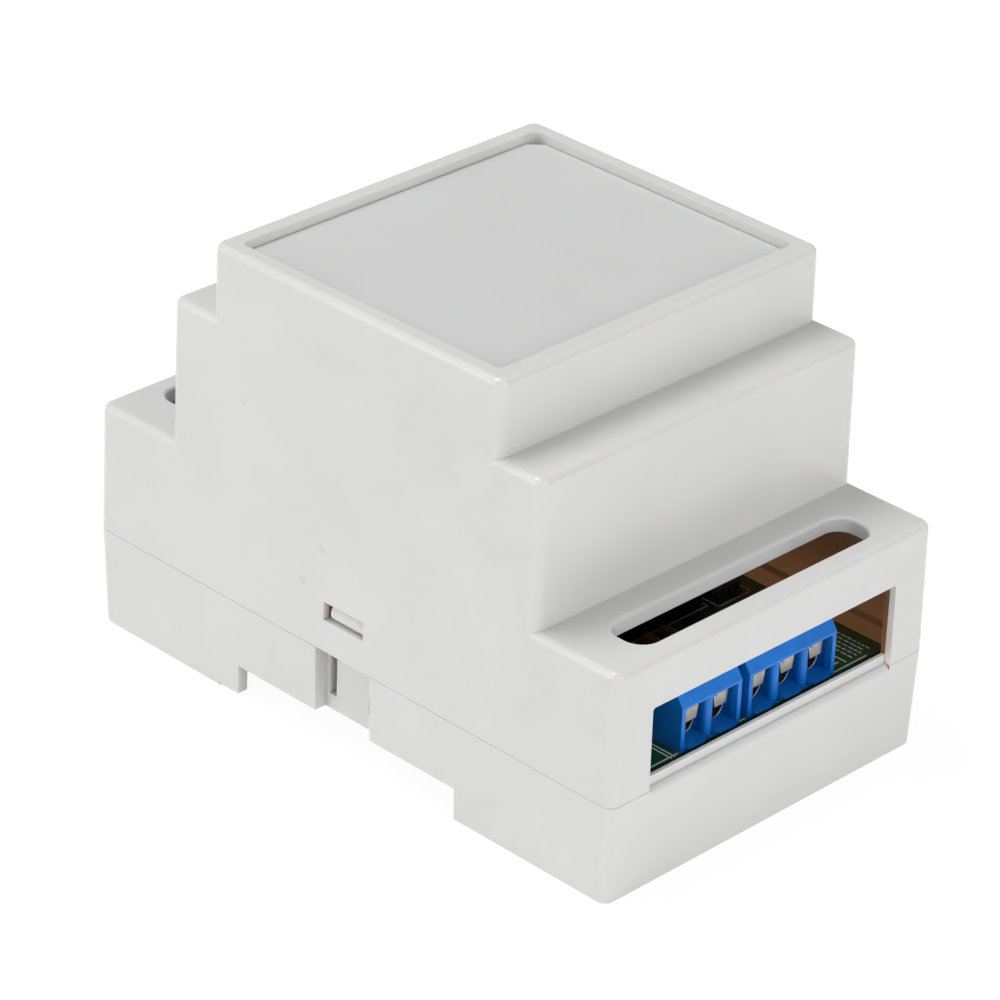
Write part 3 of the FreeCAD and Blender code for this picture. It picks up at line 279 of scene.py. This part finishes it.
def grain(tree, place, shader, size_mm, height_mm, low, high, detail=4.0):
    """A fine surface grain: bump and a matching roughness between two values."""
    noise = add(tree, "ShaderNodeTexNoise", {"Vector": place, "Scale": per_mm(size_mm),
                                             "Detail": detail})
    bump = add(tree, "ShaderNodeBump", {"Height": noise.outputs["Fac"],
                                        "Distance": height_mm * MM, "Strength": 1.0})
    rough = add(tree, "ShaderNodeMapRange", {"Value": noise.outputs["Fac"], "To Min": low,
                                             "To Max": high})
    feed(tree, shader, {"Normal": bump.outputs["Normal"], "Roughness": rough.outputs["Result"]})


def moulded_abs(name, tones, rough, specks=()):
    """Injection-moulded ABS: an even satin skin with a faint tool grain and slow colour drift.

    A little light enters the plastic and comes out nearby, which softens its shades. tones are
    the two ends of the drift, or the one tone of a narrow face that shows none."""
    material, tree, shader, place = new_material(name)
    base = mottled(tree, place, *tones, size_mm=14.0) if len(tones) == 2 else tones[0]
    for point, radius in specks:
        # A dark grain of burnt plastic that the mould left in the skin
        gap = add(tree, "ShaderNodeVectorMath", {0: place, 1: point}, operation="DISTANCE")
        edge = add(tree, "ShaderNodeMapRange", {
            "Value": gap.outputs["Value"], "From Min": radius * SPECK_CORE, "From Max": radius,
            "To Min": SPECK_TONE, "To Max": 1.0})
        base = add(tree, "ShaderNodeMix", {"Factor": 1.0, 6: base, 7: edge.outputs["Result"]},
                   data_type="RGBA", blend_type="MULTIPLY").outputs[2]
    grain(tree, place, shader, size_mm=0.35, height_mm=0.004, low=rough - 0.04, high=rough + 0.05)
    feed(tree, shader, {"Base Color": base, "IOR": 1.53, "Subsurface Weight": 0.25,
                        "Subsurface Radius": (1.0, 0.8, 0.6), "Subsurface Scale": 0.8 * MM})
    return material


def painted_shade_inside(name, look):
    """The enclosure's inner faces, with painted shade: low down they are painted a dark warm brown
    for the shade there and for the light that comes warm through the thin walls, and they give out
    a little painted light; higher up they are as pale as the skin."""
    material = moulded_abs(name, (look.inside, look.inside_painted_shade_drift), rough=0.5)
    tree = material.node_tree
    shader = tree.nodes["Principled BSDF"]
    place = tree.nodes["Texture Coordinate"].outputs["Object"]
    height = add(tree, "ShaderNodeSeparateXYZ", {"Vector": place}).outputs["Z"]
    rise = add(tree, "ShaderNodeMapRange", {"Value": height, "From Min": WARM_TO,
                                            "From Max": PALE_FROM})
    warm = shader.inputs["Base Color"].links[0].from_socket
    mix = add(tree, "ShaderNodeMix", {"Factor": rise.outputs["Result"], 6: warm,
                                      7: look.shell_shade}, data_type="RGBA")
    # Painted light: low down the inner faces give out a little light of their own
    painted_glow = add(tree, "ShaderNodeMapRange", {"Value": height, "From Min": GLOW_TO,
                                            "From Max": GLOW_GONE, "To Min": PAINTED_GLOW_STRENGTH,
                                            "To Max": 0.0})
    feed(tree, shader, {"Base Color": mix.outputs[2], "Emission Color": look.painted_glow,
                        "Emission Strength": painted_glow.outputs["Result"]})
    return material


def moulded_blue(name, tone):
    """Glass-filled nylon of a terminal block: saturated, satin, a little uneven."""
    material, tree, shader, place = new_material(name)
    grain(tree, place, shader, size_mm=0.25, height_mm=0.006, low=0.30, high=0.42)
    base = mottled(tree, place, darker(tone, 0.82), tone, size_mm=3.0)
    feed(tree, shader, {"Base Color": base, "IOR": 1.53})
    return material


def plated(name, tone, rough):
    """Bright plating over stamped steel: metal with fine rolled streaks along one way."""
    material, tree, shader, place = new_material(name)
    stretch = add(tree, "ShaderNodeMapping", {"Vector": place, "Scale": (1.0, 1.0, 0.12)})
    grain(tree, stretch.outputs["Vector"], shader, size_mm=0.12, height_mm=0.004,
          low=rough - 0.08, high=rough + 0.1, detail=3.0)
    base = mottled(tree, place, darker(tone, 0.8), tone, size_mm=1.5)
    feed(tree, shader, {"Base Color": base, "Metallic": 1.0})
    return material


def plain_finish(name, low, high, drift_mm, grain_mm, depth_mm, rough, metallic=0.0):
    """A finish of two near tones with a fine grain, for the small parts and the print."""
    material, tree, shader, place = new_material(name)
    grain(tree, place, shader, grain_mm, depth_mm, low=rough - 0.05, high=rough + 0.08)
    base = mottled(tree, place, low, high, drift_mm)
    feed(tree, shader, {"Base Color": base, "Metallic": metallic})
    return material


def lacquered_board(name, look):
    """Glass-epoxy board under green lacquer: traces show paler and stand up a little."""
    material, tree, shader, place = new_material(name)
    # Traces run square to each other on a 1.27 mm grid, broken up by a slow noise
    bricks = add(tree, "ShaderNodeTexBrick", {
        "Vector": place, "Scale": 1.0, "Brick Width": 6.35 * MM, "Row Height": 1.27 * MM,
        "Mortar Size": 0.16 * MM, "Mortar Smooth": 0.3, "Color1": (0, 0, 0, 1),
        "Color2": (0, 0, 0, 1), "Mortar": (1, 1, 1, 1)})
    patch = add(tree, "ShaderNodeTexNoise", {"Vector": place, "Scale": per_mm(9.0), "Detail": 1.0})
    area = add(tree, "ShaderNodeMapRange", {"Value": patch.outputs["Fac"], "From Min": 0.47,
                                            "From Max": 0.53})
    trace = add(tree, "ShaderNodeMath", {0: bricks.outputs["Color"], 1: area.outputs["Result"]},
                operation="MULTIPLY").outputs["Value"]
    mix = add(tree, "ShaderNodeMix", {"Factor": trace, 6: look.mask, 7: look.mask_trace},
              data_type="RGBA")
    bump = add(tree, "ShaderNodeBump", {"Height": trace, "Distance": 0.03 * MM})
    feed(tree, shader, {"Base Color": mix.outputs[2], "Normal": bump.outputs["Normal"],
                        "Roughness": 0.32, "Coat Weight": 0.4})
    return material


def put(name, data):
    """A new object of the scene, at the origin."""
    made = bpy.data.objects.new(name, data)
    bpy.context.scene.collection.objects.link(made)
    return made


def piece(name, draw, body, material):
    """Make one object from a bmesh that draw fills, ride it on its body and give it its finish."""
    mesh = bpy.data.meshes.new(name)
    work = bmesh.new()
    draw(work)
    bmesh.ops.recalc_face_normals(work, faces=work.faces[:])
    work.to_mesh(mesh)
    work.free()
    mesh.materials.append(material)
    made = put(name, mesh)
    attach(made, body)


def merged_copy(node, name, materials, pick=None, refine=None):
    """A copy of a CAD node with its loose triangles merged, smooth where the form is round.

    refine works on the merged bmesh first; pick gives the place of a face's material."""
    mesh = NODES[node].data.copy()
    mesh.name = name
    mesh.materials.clear()
    for item in materials:
        mesh.materials.append(item)
    work = bmesh.new()
    work.from_mesh(mesh)
    bmesh.ops.remove_doubles(work, verts=work.verts[:], dist=WELD)
    bmesh.ops.dissolve_degenerate(work, edges=work.edges[:], dist=SHORTEST)
    if refine:
        refine(work)
    for edge in work.edges:
        edge.smooth = len(edge.link_faces) == 2 and edge.calc_face_angle(0.0) < SHARP_TURN
    for face in work.faces:
        face.smooth = True
        face.material_index = pick(face) if pick else 0
    work.to_mesh(mesh)
    work.free()
    made = put(name, mesh)
    even = made.modifiers.new("Even shading", "WEIGHTED_NORMAL")
    even.keep_sharp = True
    even.weight = 100
    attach(made, BODY_OF[node])
    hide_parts(node)
    return made


def block(work, low, high):
    """Add a block between two corners to a bmesh."""
    made = bmesh.ops.create_cube(work, size=1.0)["verts"]
    low, high = Vector(low), Vector(high)
    bmesh.ops.scale(work, vec=high - low, verts=made)
    bmesh.ops.translate(work, vec=(low + high) / 2, verts=made)


def soft_edges(work, width):
    """Round every sharp edge of a merged bmesh a little, so that it catches the light."""
    bmesh.ops.dissolve_limit(work, angle_limit=FLAT_TURN, verts=work.verts[:],
                             edges=work.edges[:])
    sharp = [edge for edge in work.edges
             if len(edge.link_faces) == 2 and edge.calc_face_angle(0.0) > BEVEL_TURN]
    bmesh.ops.bevel(work, geom=sharp, offset=width, offset_type="OFFSET", affect="EDGES",
                    segments=2, profile=0.5, material=-1, clamp_overlap=True)


def storeys():
    """The half length and the top height of the cover's three storeys, read from its faces."""
    mesh = NODES["top_cover"].data
    areas = {}
    for face in mesh.polygons:
        if face.normal.z > LEVEL:
            # Faces within a tenth of a millimetre are one level
            level = round(face.center.z, 4)
            areas[level] = areas.get(level, 0.0) + face.area
    levels = sorted(z for z, area in areas.items() if area > ROOF_AREA)[:3]
    found, floor = [], COVER_LOW.z
    for level in levels:
        half = max(abs(v.co.x) for v in mesh.vertices if v.co.z > floor + STOREY_RISE)
        found.append((half, level))
        floor = level
    return found


def opening_of(face):
    """The opening that a face is a side of, window or slot, and its depth behind the skin."""
    middle = face.calc_center_median()
    if (abs(face.normal.x) < ALONG and abs(middle.x) > COVER_HIGH.x - WINDOW_DEPTH
            and abs(middle.y) < WINDOW_HALF + NEAR_WINDOW
            and middle.z < WINDOW_TOP + NEAR_WINDOW):
        return "window", COVER_HIGH.x - abs(middle.x)
    if (abs(face.normal.y) < ALONG and abs(middle.y) > COVER_HIGH.y - SNAP_DEPTH
            and abs(middle.x) < SNAP_HALF + NEAR_SNAP
            and SNAP_LOW - NEAR_SNAP < middle.z < SNAP_HIGH + NEAR_SNAP):
        return "slot", COVER_HIGH.y - abs(middle.y)
    return None, 0.0


def cut_reveals(work):
    """Cut the openings' sides in two, because their inner strip gets the inner faces' painted
    shade.
    """
    for side in (-1, 1):
        for reach, normal in ((COVER_HIGH.x - REVEAL, (1, 0, 0)),
                              (COVER_HIGH.y - REVEAL, (0, 1, 0))):
            geom = [f for f in work.faces if opening_of(f)[1] > 0]
            geom += list({e for f in geom for e in f.edges})
            geom += list({v for f in geom for v in f.verts})
            bmesh.ops.bisect_plane(work, geom=geom, plane_co=Vector(normal) * side * reach,
                                   plane_no=normal)


def widen_tongue_gaps(work):
    """Open the slits beside the snap tongues, as in the photograph."""
    for vert in work.verts:
        if abs(abs(vert.co.x) - GAP_HALF) < ON_GAP and abs(vert.co.y) > GAP_NEAR:
            vert.co.x = math.copysign(WIDE_GAP_HALF, vert.co.x)


def fill_snap_slots(work):
    """Stretch each tongue's bump: one end reaches its slot's end, and it is flush with the skin."""
    blade = max(abs(vert.co.y) for vert in work.verts if vert.co.z < SNAP_LOW)
    middle = (SNAP_LOW + SNAP_HIGH) / 2
    for vert in work.verts:
        out = abs(vert.co.y) - blade
        at_foot = abs(vert.co.x) < BUMP_REACH and SNAP_LOW < vert.co.z < SNAP_HIGH
        if out > ON_BLADE or (out > -ON_BLADE and at_foot):
            side = math.copysign(1, vert.co.y)
            if vert.co.x * side < 0:
                vert.co.x = -side * LONG_BUMP_HALF
            vert.co.y = side * (blade + max(out, 0) * BUMP_OUT_SHARE)
            vert.co.z = middle + (vert.co.z - middle) * BUMP_HEIGHT_SHARE


def base_finish(face):
    """1 for the upstands' inner sides, in painted shade, 2 for their tops, in painted warm light,
    else 0.
    """
    middle = face.calc_center_median()
    if not UPSTAND_NEAR < abs(middle.y) < UPSTAND_FAR or middle.z < UPSTAND_LOW:
        return 0
    if face.normal.z > FACING:
        return 2 if middle.z > RIDGE_LOW else 0
    return int(face.normal.y * middle.y < 0 and abs(face.normal.y) > FACING)


class CONTROLLER_OT_enclosure(bpy.types.Operator):
    """Finish the moulded cover, base and snap tongues"""

    bl_idname = "controller.enclosure"
    bl_label = "Enclosure"

    def execute(self, context):
        look = settings().enclosure
        shell = moulded_abs("Moulded ABS, light grey", (look.shell_shade, look.shell), rough=0.22,
                            specks=SPECKS)
        # The inner faces get painted shade and painted light
        inner = painted_shade_inside("Moulded ABS, inner face, painted shade and light", look)
        # The windows' outer strips get painted light
        edge = moulded_abs("Moulded ABS, painted light edge", (look.painted_light_edge,), rough=0.34)
        # The upstands' tops get painted warm light
        painted_light_ridge = moulded_abs("Moulded ABS, upstand's top, painted warm light", (look.painted_light_ridge,), rough=0.4)
        tiers = storeys()

        def cover_finish(face):
            """0 for the skin, 1 for the painted shade of what lies behind the walls and roofs, 2
            for a window's painted light edge.
            """
            opening, depth = opening_of(face)
            if depth > REVEAL:
                return int(opening == "window" or abs(face.normal.x) > FACING)
            if depth > 0:
                return 2 if opening == "window" else 0
            behind = all(abs(v.co.y) < COVER_HIGH.y - SIDE_SKIN
                         and any(abs(v.co.x) < half - END_SKIN and v.co.z < top - ROOF_SKIN
                                 for half, top in tiers)
                         for v in face.verts)
            return int(behind)

        merged_copy("top_cover", "cover_shell", (shell, inner, edge), pick=cover_finish,
                    refine=cut_reveals)
        merged_copy("base_shell", "base_tray", (shell, inner, painted_light_ridge), pick=base_finish,
                    refine=widen_tongue_gaps)
        merged_copy("snap_tongues", "snap_tongue_pair", (shell,), refine=fill_snap_slots)
        return {"FINISHED"}


class CONTROLLER_OT_lid(bpy.types.Operator):
    """Finish the plate in the top recess"""

    bl_idname = "controller.lid"
    bl_label = "Top plate"

    def execute(self, context):
        tone = settings().enclosure.lid
        plastic = moulded_abs("Moulded ABS, neutral grey", (darker(tone, 0.97), tone), rough=0.40)
        merged_copy("top_plate", "recess_plate", (plastic,))
        return {"FINISHED"}


# The board's print, in millimetres. The front line lies this far behind the board's edge
FRONT_LINE = BOARD_X / MM - 0.3
TERMINAL_STROKES = (
    # The line along the front, two beside the two-pole terminal and two by the three-pole one
    (FRONT_LINE, -17.2, FRONT_LINE, 20.3),
    (33.0, -13.4, FRONT_LINE + 0.2, -13.4),
    (33.0, -14.0, FRONT_LINE + 0.2, -14.0),
    (38.2, 17.4, 40.0, 17.4),
    (FRONT_LINE - 1.2, 15.4, FRONT_LINE - 1.2, 16.6),
)
# Rows of plain dashes where the real board has small print: their places across and their reach,
# how far every second row is set in, and the least and greatest dash and gap
DASH_ROWS = (21.9, 21.1, 20.3, 19.5, 18.7)
DASH_START, DASH_LAST_START, DASH_END, DASH_INDENT = 34.7, 39.6, 39.8, 0.2
DASH_SIZES, GAP_SIZES = (0.25, 0.75), (0.35, 0.5)
DASH_SEED = 7
# The parts that have a printed outline, and how far it lies outside them
OUTLINED = ("bus_transceiver", "bulk_capacitors", "heat_sink", "buck_inductor", "microcontroller")
OUTLINE_X, OUTLINE_Y = 0.5, 0.4


class CONTROLLER_OT_board(bpy.types.Operator):
    """Finish the circuit board and print its plain marks"""

    bl_idname = "controller.board"
    bl_label = "Circuit board"

    def execute(self, context):
        look = settings().board
        board = lacquered_board("Lacquered glass-epoxy board", look)
        merged_copy("circuit_board", "board", (board,))
        # Screen-printed ink: matt and nearly white, a little thin in places
        ink = plain_finish("Printed white ink", look.print_shade, look.print_ink, drift_mm=0.8,
                           grain_mm=0.1, depth_mm=0.002, rough=0.6)

        def print_marks(work):
            """The terminals' strokes, the rows of dashes and the parts' outlines."""
            half = look.line / 2

            def stroke(x0, y0, x1, y1):
                low = (min(x0, x1) * MM - half, min(y0, y1) * MM - half, BOARD_Z)
                high = (max(x0, x1) * MM + half, max(y0, y1) * MM + half, BOARD_Z + look.ink)
                block(work, low, high)

            for points in TERMINAL_STROKES:
                stroke(*points)
            rng = random.Random(DASH_SEED)
            for row, y in enumerate(DASH_ROWS):
                x = DASH_START + DASH_INDENT * (row % 2)
                while x < DASH_LAST_START:
                    dash = rng.uniform(*DASH_SIZES)
                    stroke(x, y, min(x + dash, DASH_END), y)
                    x += dash + rng.uniform(*GAP_SIZES)
            for node in OUTLINED:
                low, high = (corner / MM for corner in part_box(node))
                x0, x1 = low.x - OUTLINE_X, high.x + OUTLINE_X
                y0, y1 = low.y - OUTLINE_Y, high.y + OUTLINE_Y
                stroke(x0, y0, x1, y0)
                stroke(x0, y1, x1, y1)
                stroke(x0, y0, x0, y1)
                stroke(x1, y0, x1, y1)

        piece("board_print", print_marks, "base", ink)
        return {"FINISHED"}


def raise_entries(work):
    """Lift the wire entries' tops to just under the crease, as in the photograph."""
    for vert in work.verts:
        if (ENTRY_LOW < vert.co.z - BOARD_Z < ENTRY_HIGH
                and ENTRY_BACK < abs(vert.co.x) < ENTRY_FRONT):
            vert.co.z += ENTRY_RISE
    soft_edges(work, ENTRY_SOFTNESS)


def cage_lips(work):
    """The rolled lip round the mouth of each contact cage."""
    low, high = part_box("terminal_contacts")
    for node in LEAVES:
        leaf_low, leaf_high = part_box(node)
        middle = (leaf_low + leaf_high) / 2
        mouth = Vector((high.x if middle.x > 0 else low.x, middle.y, BOARD_Z + LIP_RISE))
        ring = bmesh.ops.create_circle(work, segments=8, radius=ROLL_R)["verts"]
        bmesh.ops.rotate(work, verts=ring, cent=(0, 0, 0),
                         matrix=Matrix.Rotation(math.pi / 2, 3, "X"))
        bmesh.ops.translate(work, verts=ring, vec=mouth - Vector((0, 0, MOUTH_R)))
        edges = list({edge for vert in ring for edge in vert.link_edges})
        bmesh.ops.spin(work, geom=ring + edges, cent=mouth, axis=(1, 0, 0),
                       angle=2 * math.pi, steps=32, use_merge=True)


class CONTROLLER_OT_terminals(bpy.types.Operator):
    """Finish the blue terminal blocks and their contacts"""

    bl_idname = "controller.terminals"
    bl_label = "Terminal blocks"

    def execute(self, context):
        look = settings().terminals
        blue = moulded_blue("Moulded nylon, blue", look.housing)
        for node in HOUSINGS:
            merged_copy(node, node.replace("_housing", "_block"), (blue,), refine=raise_entries)
        tin = plated("Tinned brass", look.metal, rough=0.28)
        merged_copy("terminal_contacts", "contact_cages", (tin,))
        piece("contact_cage_lips", cage_lips, "base", tin)
        return {"FINISHED"}


def raise_brow(work):
    """Lift the top of a leaf's brow to just under the crease, as in the photograph."""
    top = max(vert.co.z for vert in work.verts)
    for vert in work.verts:
        if vert.co.z > top - BROW_EDGE:
            vert.co.z += BROW_RISE
    soft_edges(work, BROW_SOFTNESS)


class CONTROLLER_OT_clamps(bpy.types.Operator):
    """Finish every clamping leaf and screw"""

    bl_idname = "controller.clamps"
    bl_label = "Leaves and screws"

    def execute(self, context):
        tone = settings().terminals.metal
        leaf = plated("Nickel-plated spring steel", tone, rough=0.34)
        screw = plated("Zinc-plated steel", tone, rough=0.25)
        for node in LEAVES:
            merged_copy(node, node.replace("clamp_leaf", "leaf"), (leaf,), refine=raise_brow)
        for node in SCREWS:
            merged_copy(node, node.replace("terminal_screw", "clamp_screw"), (screw,))
        return {"FINISHED"}


# For each node: the finish's name, its two tones, the drift, the grain and its height in
# millimetres, the roughness, and how metallic it is
SMALL_FINISHES = {
    # Black anodised aluminium: deep matt black with a faint metal sheen
    "heat_sink": ("Black anodised aluminium", "#0B0B0C", "#131314", 4.0, 0.2, 0.004, 0.42, 0.3),
    # Moulded epoxy: matt charcoal with a fine mould texture
    "power_mosfets": ("Moulded epoxy, transistor", "#161616", "#1F1F1F", 2.0, 0.15, 0.006, 0.5),
    "bus_transceiver": ("Moulded epoxy, chip", "#232019", "#2E2A20", 1.5, 0.12, 0.004, 0.45),
    "microcontroller": ("Moulded epoxy, large chip", "#171717", "#202020", 2.0, 0.12, 0.004, 0.45),
    "gate_driver": ("Moulded epoxy, driver", "#171717", "#202020", 1.5, 0.12, 0.004, 0.45),
    "voltage_regulator": ("Moulded epoxy, regulator", "#151515", "#1D1D1D", 1.5, 0.12, 0.004, 0.5),
    "freewheel_diode": ("Moulded epoxy, diode", "#141414", "#1E1E1E", 2.0, 0.15, 0.005, 0.4),
    # Moulded nylon: black and satin
    "programming_header": ("Moulded nylon, black", "#121212", "#1A1A1A", 2.0, 0.2, 0.005, 0.45),
    # Glazed alumina: black with a glassy top
    "chip_resistors": ("Glazed alumina, black", "#101010", "#1C1C1C", 0.6, 0.1, 0.003, 0.3),
    # Fired ceramic: tan, slightly speckled
    "chip_capacitors": ("Fired ceramic, tan", "#8A6C4A", "#A1835E", 0.5, 0.1, 0.004, 0.4),
    # Shrink sleeve: glossy near-black film over the can
    "bulk_capacitors": ("Shrink sleeve, black", "#111216", "#191A20", 5.0, 0.6, 0.01, 0.25),
    # Pressed ferrite: dull dark grey, a little rough
    "buck_inductor": ("Ferrite, dark grey", "#26262A", "#333338", 1.5, 0.2, 0.01, 0.6),
    # Rolled alloy strip: bare metal of a warm grey
    "shunt_resistor": ("Resistance strip, bare", "#8C7A68", "#A39283", 1.0, 0.1, 0.004, 0.35, 1.0),
    # Drawn steel: a bright, smooth can
    "crystal": ("Drawn steel can", "#B8B6B0", "#CFCDC8", 2.0, 0.15, 0.004, 0.28, 1.0),
    # Diffused epoxy: milky green and glossy
    "status_led": ("Diffused epoxy, green", "#2F8F45", "#3BA455", 1.0, 0.3, 0.003, 0.3),
    # Zinc plate: bright bluish metal
    "board_screws": ("Zinc-plated steel, pan head", "#B5B6B8", "#CBCCCE", 1.0, 0.1, 0.004, 0.3,
                     1.0),
    "mosfet_screws": ("Zinc-plated steel, cheese head", "#B0B1B3", "#C6C7C9", 1.0, 0.1, 0.004,
                      0.32, 1.0),
}


class CONTROLLER_OT_small_parts(bpy.types.Operator):
    """Finish the heat sink, transistors, chips and other parts on the board"""

    bl_idname = "controller.small_parts"
    bl_label = "Parts on the board"

    def execute(self, context):
        for node, (name, low, high, *rest) in SMALL_FINISHES.items():
            finish = plain_finish(name, linear(low), linear(high), *rest)
            merged_copy(node, node + "_set", (finish,))
        return {"FINISHED"}


class CONTROLLER_OT_rail_clip(bpy.types.Operator):
    """Finish the sliding rail clip and its spring arms"""

    bl_idname = "controller.rail_clip"
    bl_label = "Rail clip"

    def execute(self, context):
        # Acetal: slippery, a little waxier than the enclosure
        acetal = moulded_abs("Moulded acetal, light grey",
                             (linear("#CFCFCB"), linear("#D9D9D5")), rough=0.3)
        merged_copy("rail_clip", "sliding_clip", (acetal,))
        spring = merged_copy("clip_spring", "spring_arms", (acetal,))
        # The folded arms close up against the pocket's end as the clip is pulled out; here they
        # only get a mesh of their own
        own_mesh(spring)
        return {"FINISHED"}


# Soft boxes: name, power in watts, side in metres and place in metres, and where they all face
LAMPS = (("front_left_box", 2.05, 0.5, (-0.35, -0.75, 0.35)),
         ("front_right_box", 2.6, 0.5, (0.80, -0.10, 0.30)),
         ("top_box", 3.3, 0.35, (-0.27, -0.12, 0.85)))
LAMP_TARGET = Vector((0.0, 0.0, 0.03))
# The world's light on the object, and the white that the camera sees behind it
WORLD_LIGHT, WORLD_WHITE = 0.42, 1.0
WHITE = (1, 1, 1, 1)
# How much of the floor a camera ray sees as bright paper, and how bright that is
PAPER_SHARE, PAPER_LIGHT = 0.93, 1.02
# Half the floor's width in metres
FLOOR_HALF = 3.0
# The camera's sensor in millimetres, its near and far limits and its target in metres
SENSOR = 36.0
NEAREST, FARTHEST = 0.01, 20.0
CAMERA_TARGET = Vector((-0.9, -0.478, 25.0)) * MM


def pale_floor(look):
    """A pale floor that a camera sees as white paper and that still takes a soft shadow."""
    material, tree, shader, _ = new_material("Matt paper backdrop")
    feed(tree, shader, {"Base Color": look.floor, "Roughness": 0.9})
    path = add(tree, "ShaderNodeLightPath")
    seen = path.outputs["Is Camera Ray"]
    for ray in ("Is Glossy Ray", "Is Transmission Ray"):
        seen = add(tree, "ShaderNodeMath", {0: seen, 1: path.outputs[ray]},
                   operation="MAXIMUM").outputs[0]
    share = add(tree, "ShaderNodeMath", {0: seen, 1: PAPER_SHARE}, operation="MULTIPLY")
    white = add(tree, "ShaderNodeEmission", {"Color": WHITE, "Strength": PAPER_LIGHT})
    mix = add(tree, "ShaderNodeMixShader", {0: share.outputs[0], 1: shader.outputs["BSDF"],
                                            2: white.outputs["Emission"]})
    feed(tree, tree.nodes["Material Output"], {"Surface": mix.outputs["Shader"]})
    return material


def make_floor(look):
    """The pale floor."""
    mesh = bpy.data.meshes.new("floor")
    work = bmesh.new()
    bmesh.ops.create_grid(work, x_segments=1, y_segments=1, size=FLOOR_HALF)
    work.to_mesh(mesh)
    work.free()
    mesh.materials.append(pale_floor(look))
    floor = put("floor", mesh)


def make_world():
    """Even light from all round, with a white backdrop for the camera."""
    world = bpy.data.worlds.new("Studio")
    world.use_nodes = True
    tree = world.node_tree
    tree.nodes.clear()
    path = add(tree, "ShaderNodeLightPath")
    soft = add(tree, "ShaderNodeBackground", {"Color": WHITE, "Strength": WORLD_LIGHT})
    paper = add(tree, "ShaderNodeBackground", {"Color": WHITE, "Strength": WORLD_WHITE})
    mix = add(tree, "ShaderNodeMixShader", {0: path.outputs["Is Camera Ray"],
                                            1: soft.outputs[0], 2: paper.outputs[0]})
    add(tree, "ShaderNodeOutputWorld", {"Surface": mix.outputs[0]})
    bpy.context.scene.world = world


def make_lamps():
    """Plain soft boxes that face the object."""
    for name, energy, size, place in LAMPS:
        data = bpy.data.lights.new(name, "AREA")
        data.energy, data.size = energy, size
        lamp = put(name, data)
        lamp.location = place
        lamp.rotation_euler = (Vector(place) - LAMP_TARGET).to_track_quat("Z", "Y").to_euler()


def make_camera(look):
    """The camera at the photograph's angle."""
    a, e, roll = look.azimuth, look.elevation, look.roll
    back = Vector((math.sin(a) * math.cos(e), -math.cos(a) * math.cos(e), math.sin(e)))
    right = (-back).cross(Vector((0, 0, 1))).normalized()
    up = right.cross(-back)
    right, up = (math.cos(roll) * right + math.sin(roll) * up,
                 math.cos(roll) * up - math.sin(roll) * right)
    data = bpy.data.cameras.new("camera")
    data.lens, data.sensor_width = look.lens, SENSOR
    data.clip_start, data.clip_end = NEAREST, FARTHEST
    camera = put("camera", data)
    turn = Matrix((right, up, back)).transposed().to_4x4()
    camera.matrix_world = Matrix.Translation(CAMERA_TARGET + back * look.distance) @ turn
    bpy.context.scene.camera = camera


class CONTROLLER_OT_stage(bpy.types.Operator):
    """Make the floor, the lights and the camera"""

    bl_idname = "controller.stage"
    bl_label = "Stage"

    def execute(self, context):
        look = settings().stage
        make_floor(look)
        make_world()
        make_lamps()
        make_camera(look)
        context.scene.view_settings.view_transform = "Standard"
        return {"FINISHED"}


class CONTROLLER_PT_look(bpy.types.Panel):
    """Lists the steps that dress the controller"""

    bl_idname = "CONTROLLER_PT_look"
    bl_label = "Speed controller"
    bl_space_type = "VIEW_3D"
    bl_region_type = "UI"
    bl_category = "Controller"

    def draw(self, context):
        for operator in STEPS:
            self.layout.operator(operator.bl_idname)


STEPS = (CONTROLLER_OT_enclosure, CONTROLLER_OT_lid, CONTROLLER_OT_board, CONTROLLER_OT_terminals,
         CONTROLLER_OT_clamps, CONTROLLER_OT_small_parts, CONTROLLER_OT_rail_clip,
         CONTROLLER_OT_stage)
CLASSES = (EnclosureFinish, BoardFinish, TerminalFinish, StageSettings, ControllerLook,
           *STEPS, CONTROLLER_PT_look)


def register():
    """Register the classes and the scene's settings."""
    for item in CLASSES:
        bpy.utils.register_class(item)
    bpy.types.Scene.controller_look = bpy.props.PointerProperty(type=ControllerLook)


def unregister():
    """Undo register."""
    del bpy.types.Scene.controller_look
    for item in reversed(CLASSES):
        bpy.utils.unregister_class(item)


def main():
    """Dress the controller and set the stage."""
    register()
    bpy.ops.controller.enclosure()
    bpy.ops.controller.lid()
    bpy.ops.controller.board()
    bpy.ops.controller.terminals()
    bpy.ops.controller.clamps()
    bpy.ops.controller.small_parts()
    bpy.ops.controller.rail_clip()
    bpy.ops.controller.stage()
    bpy.context.view_layer.update()


if __name__ == "__main__":
    main()
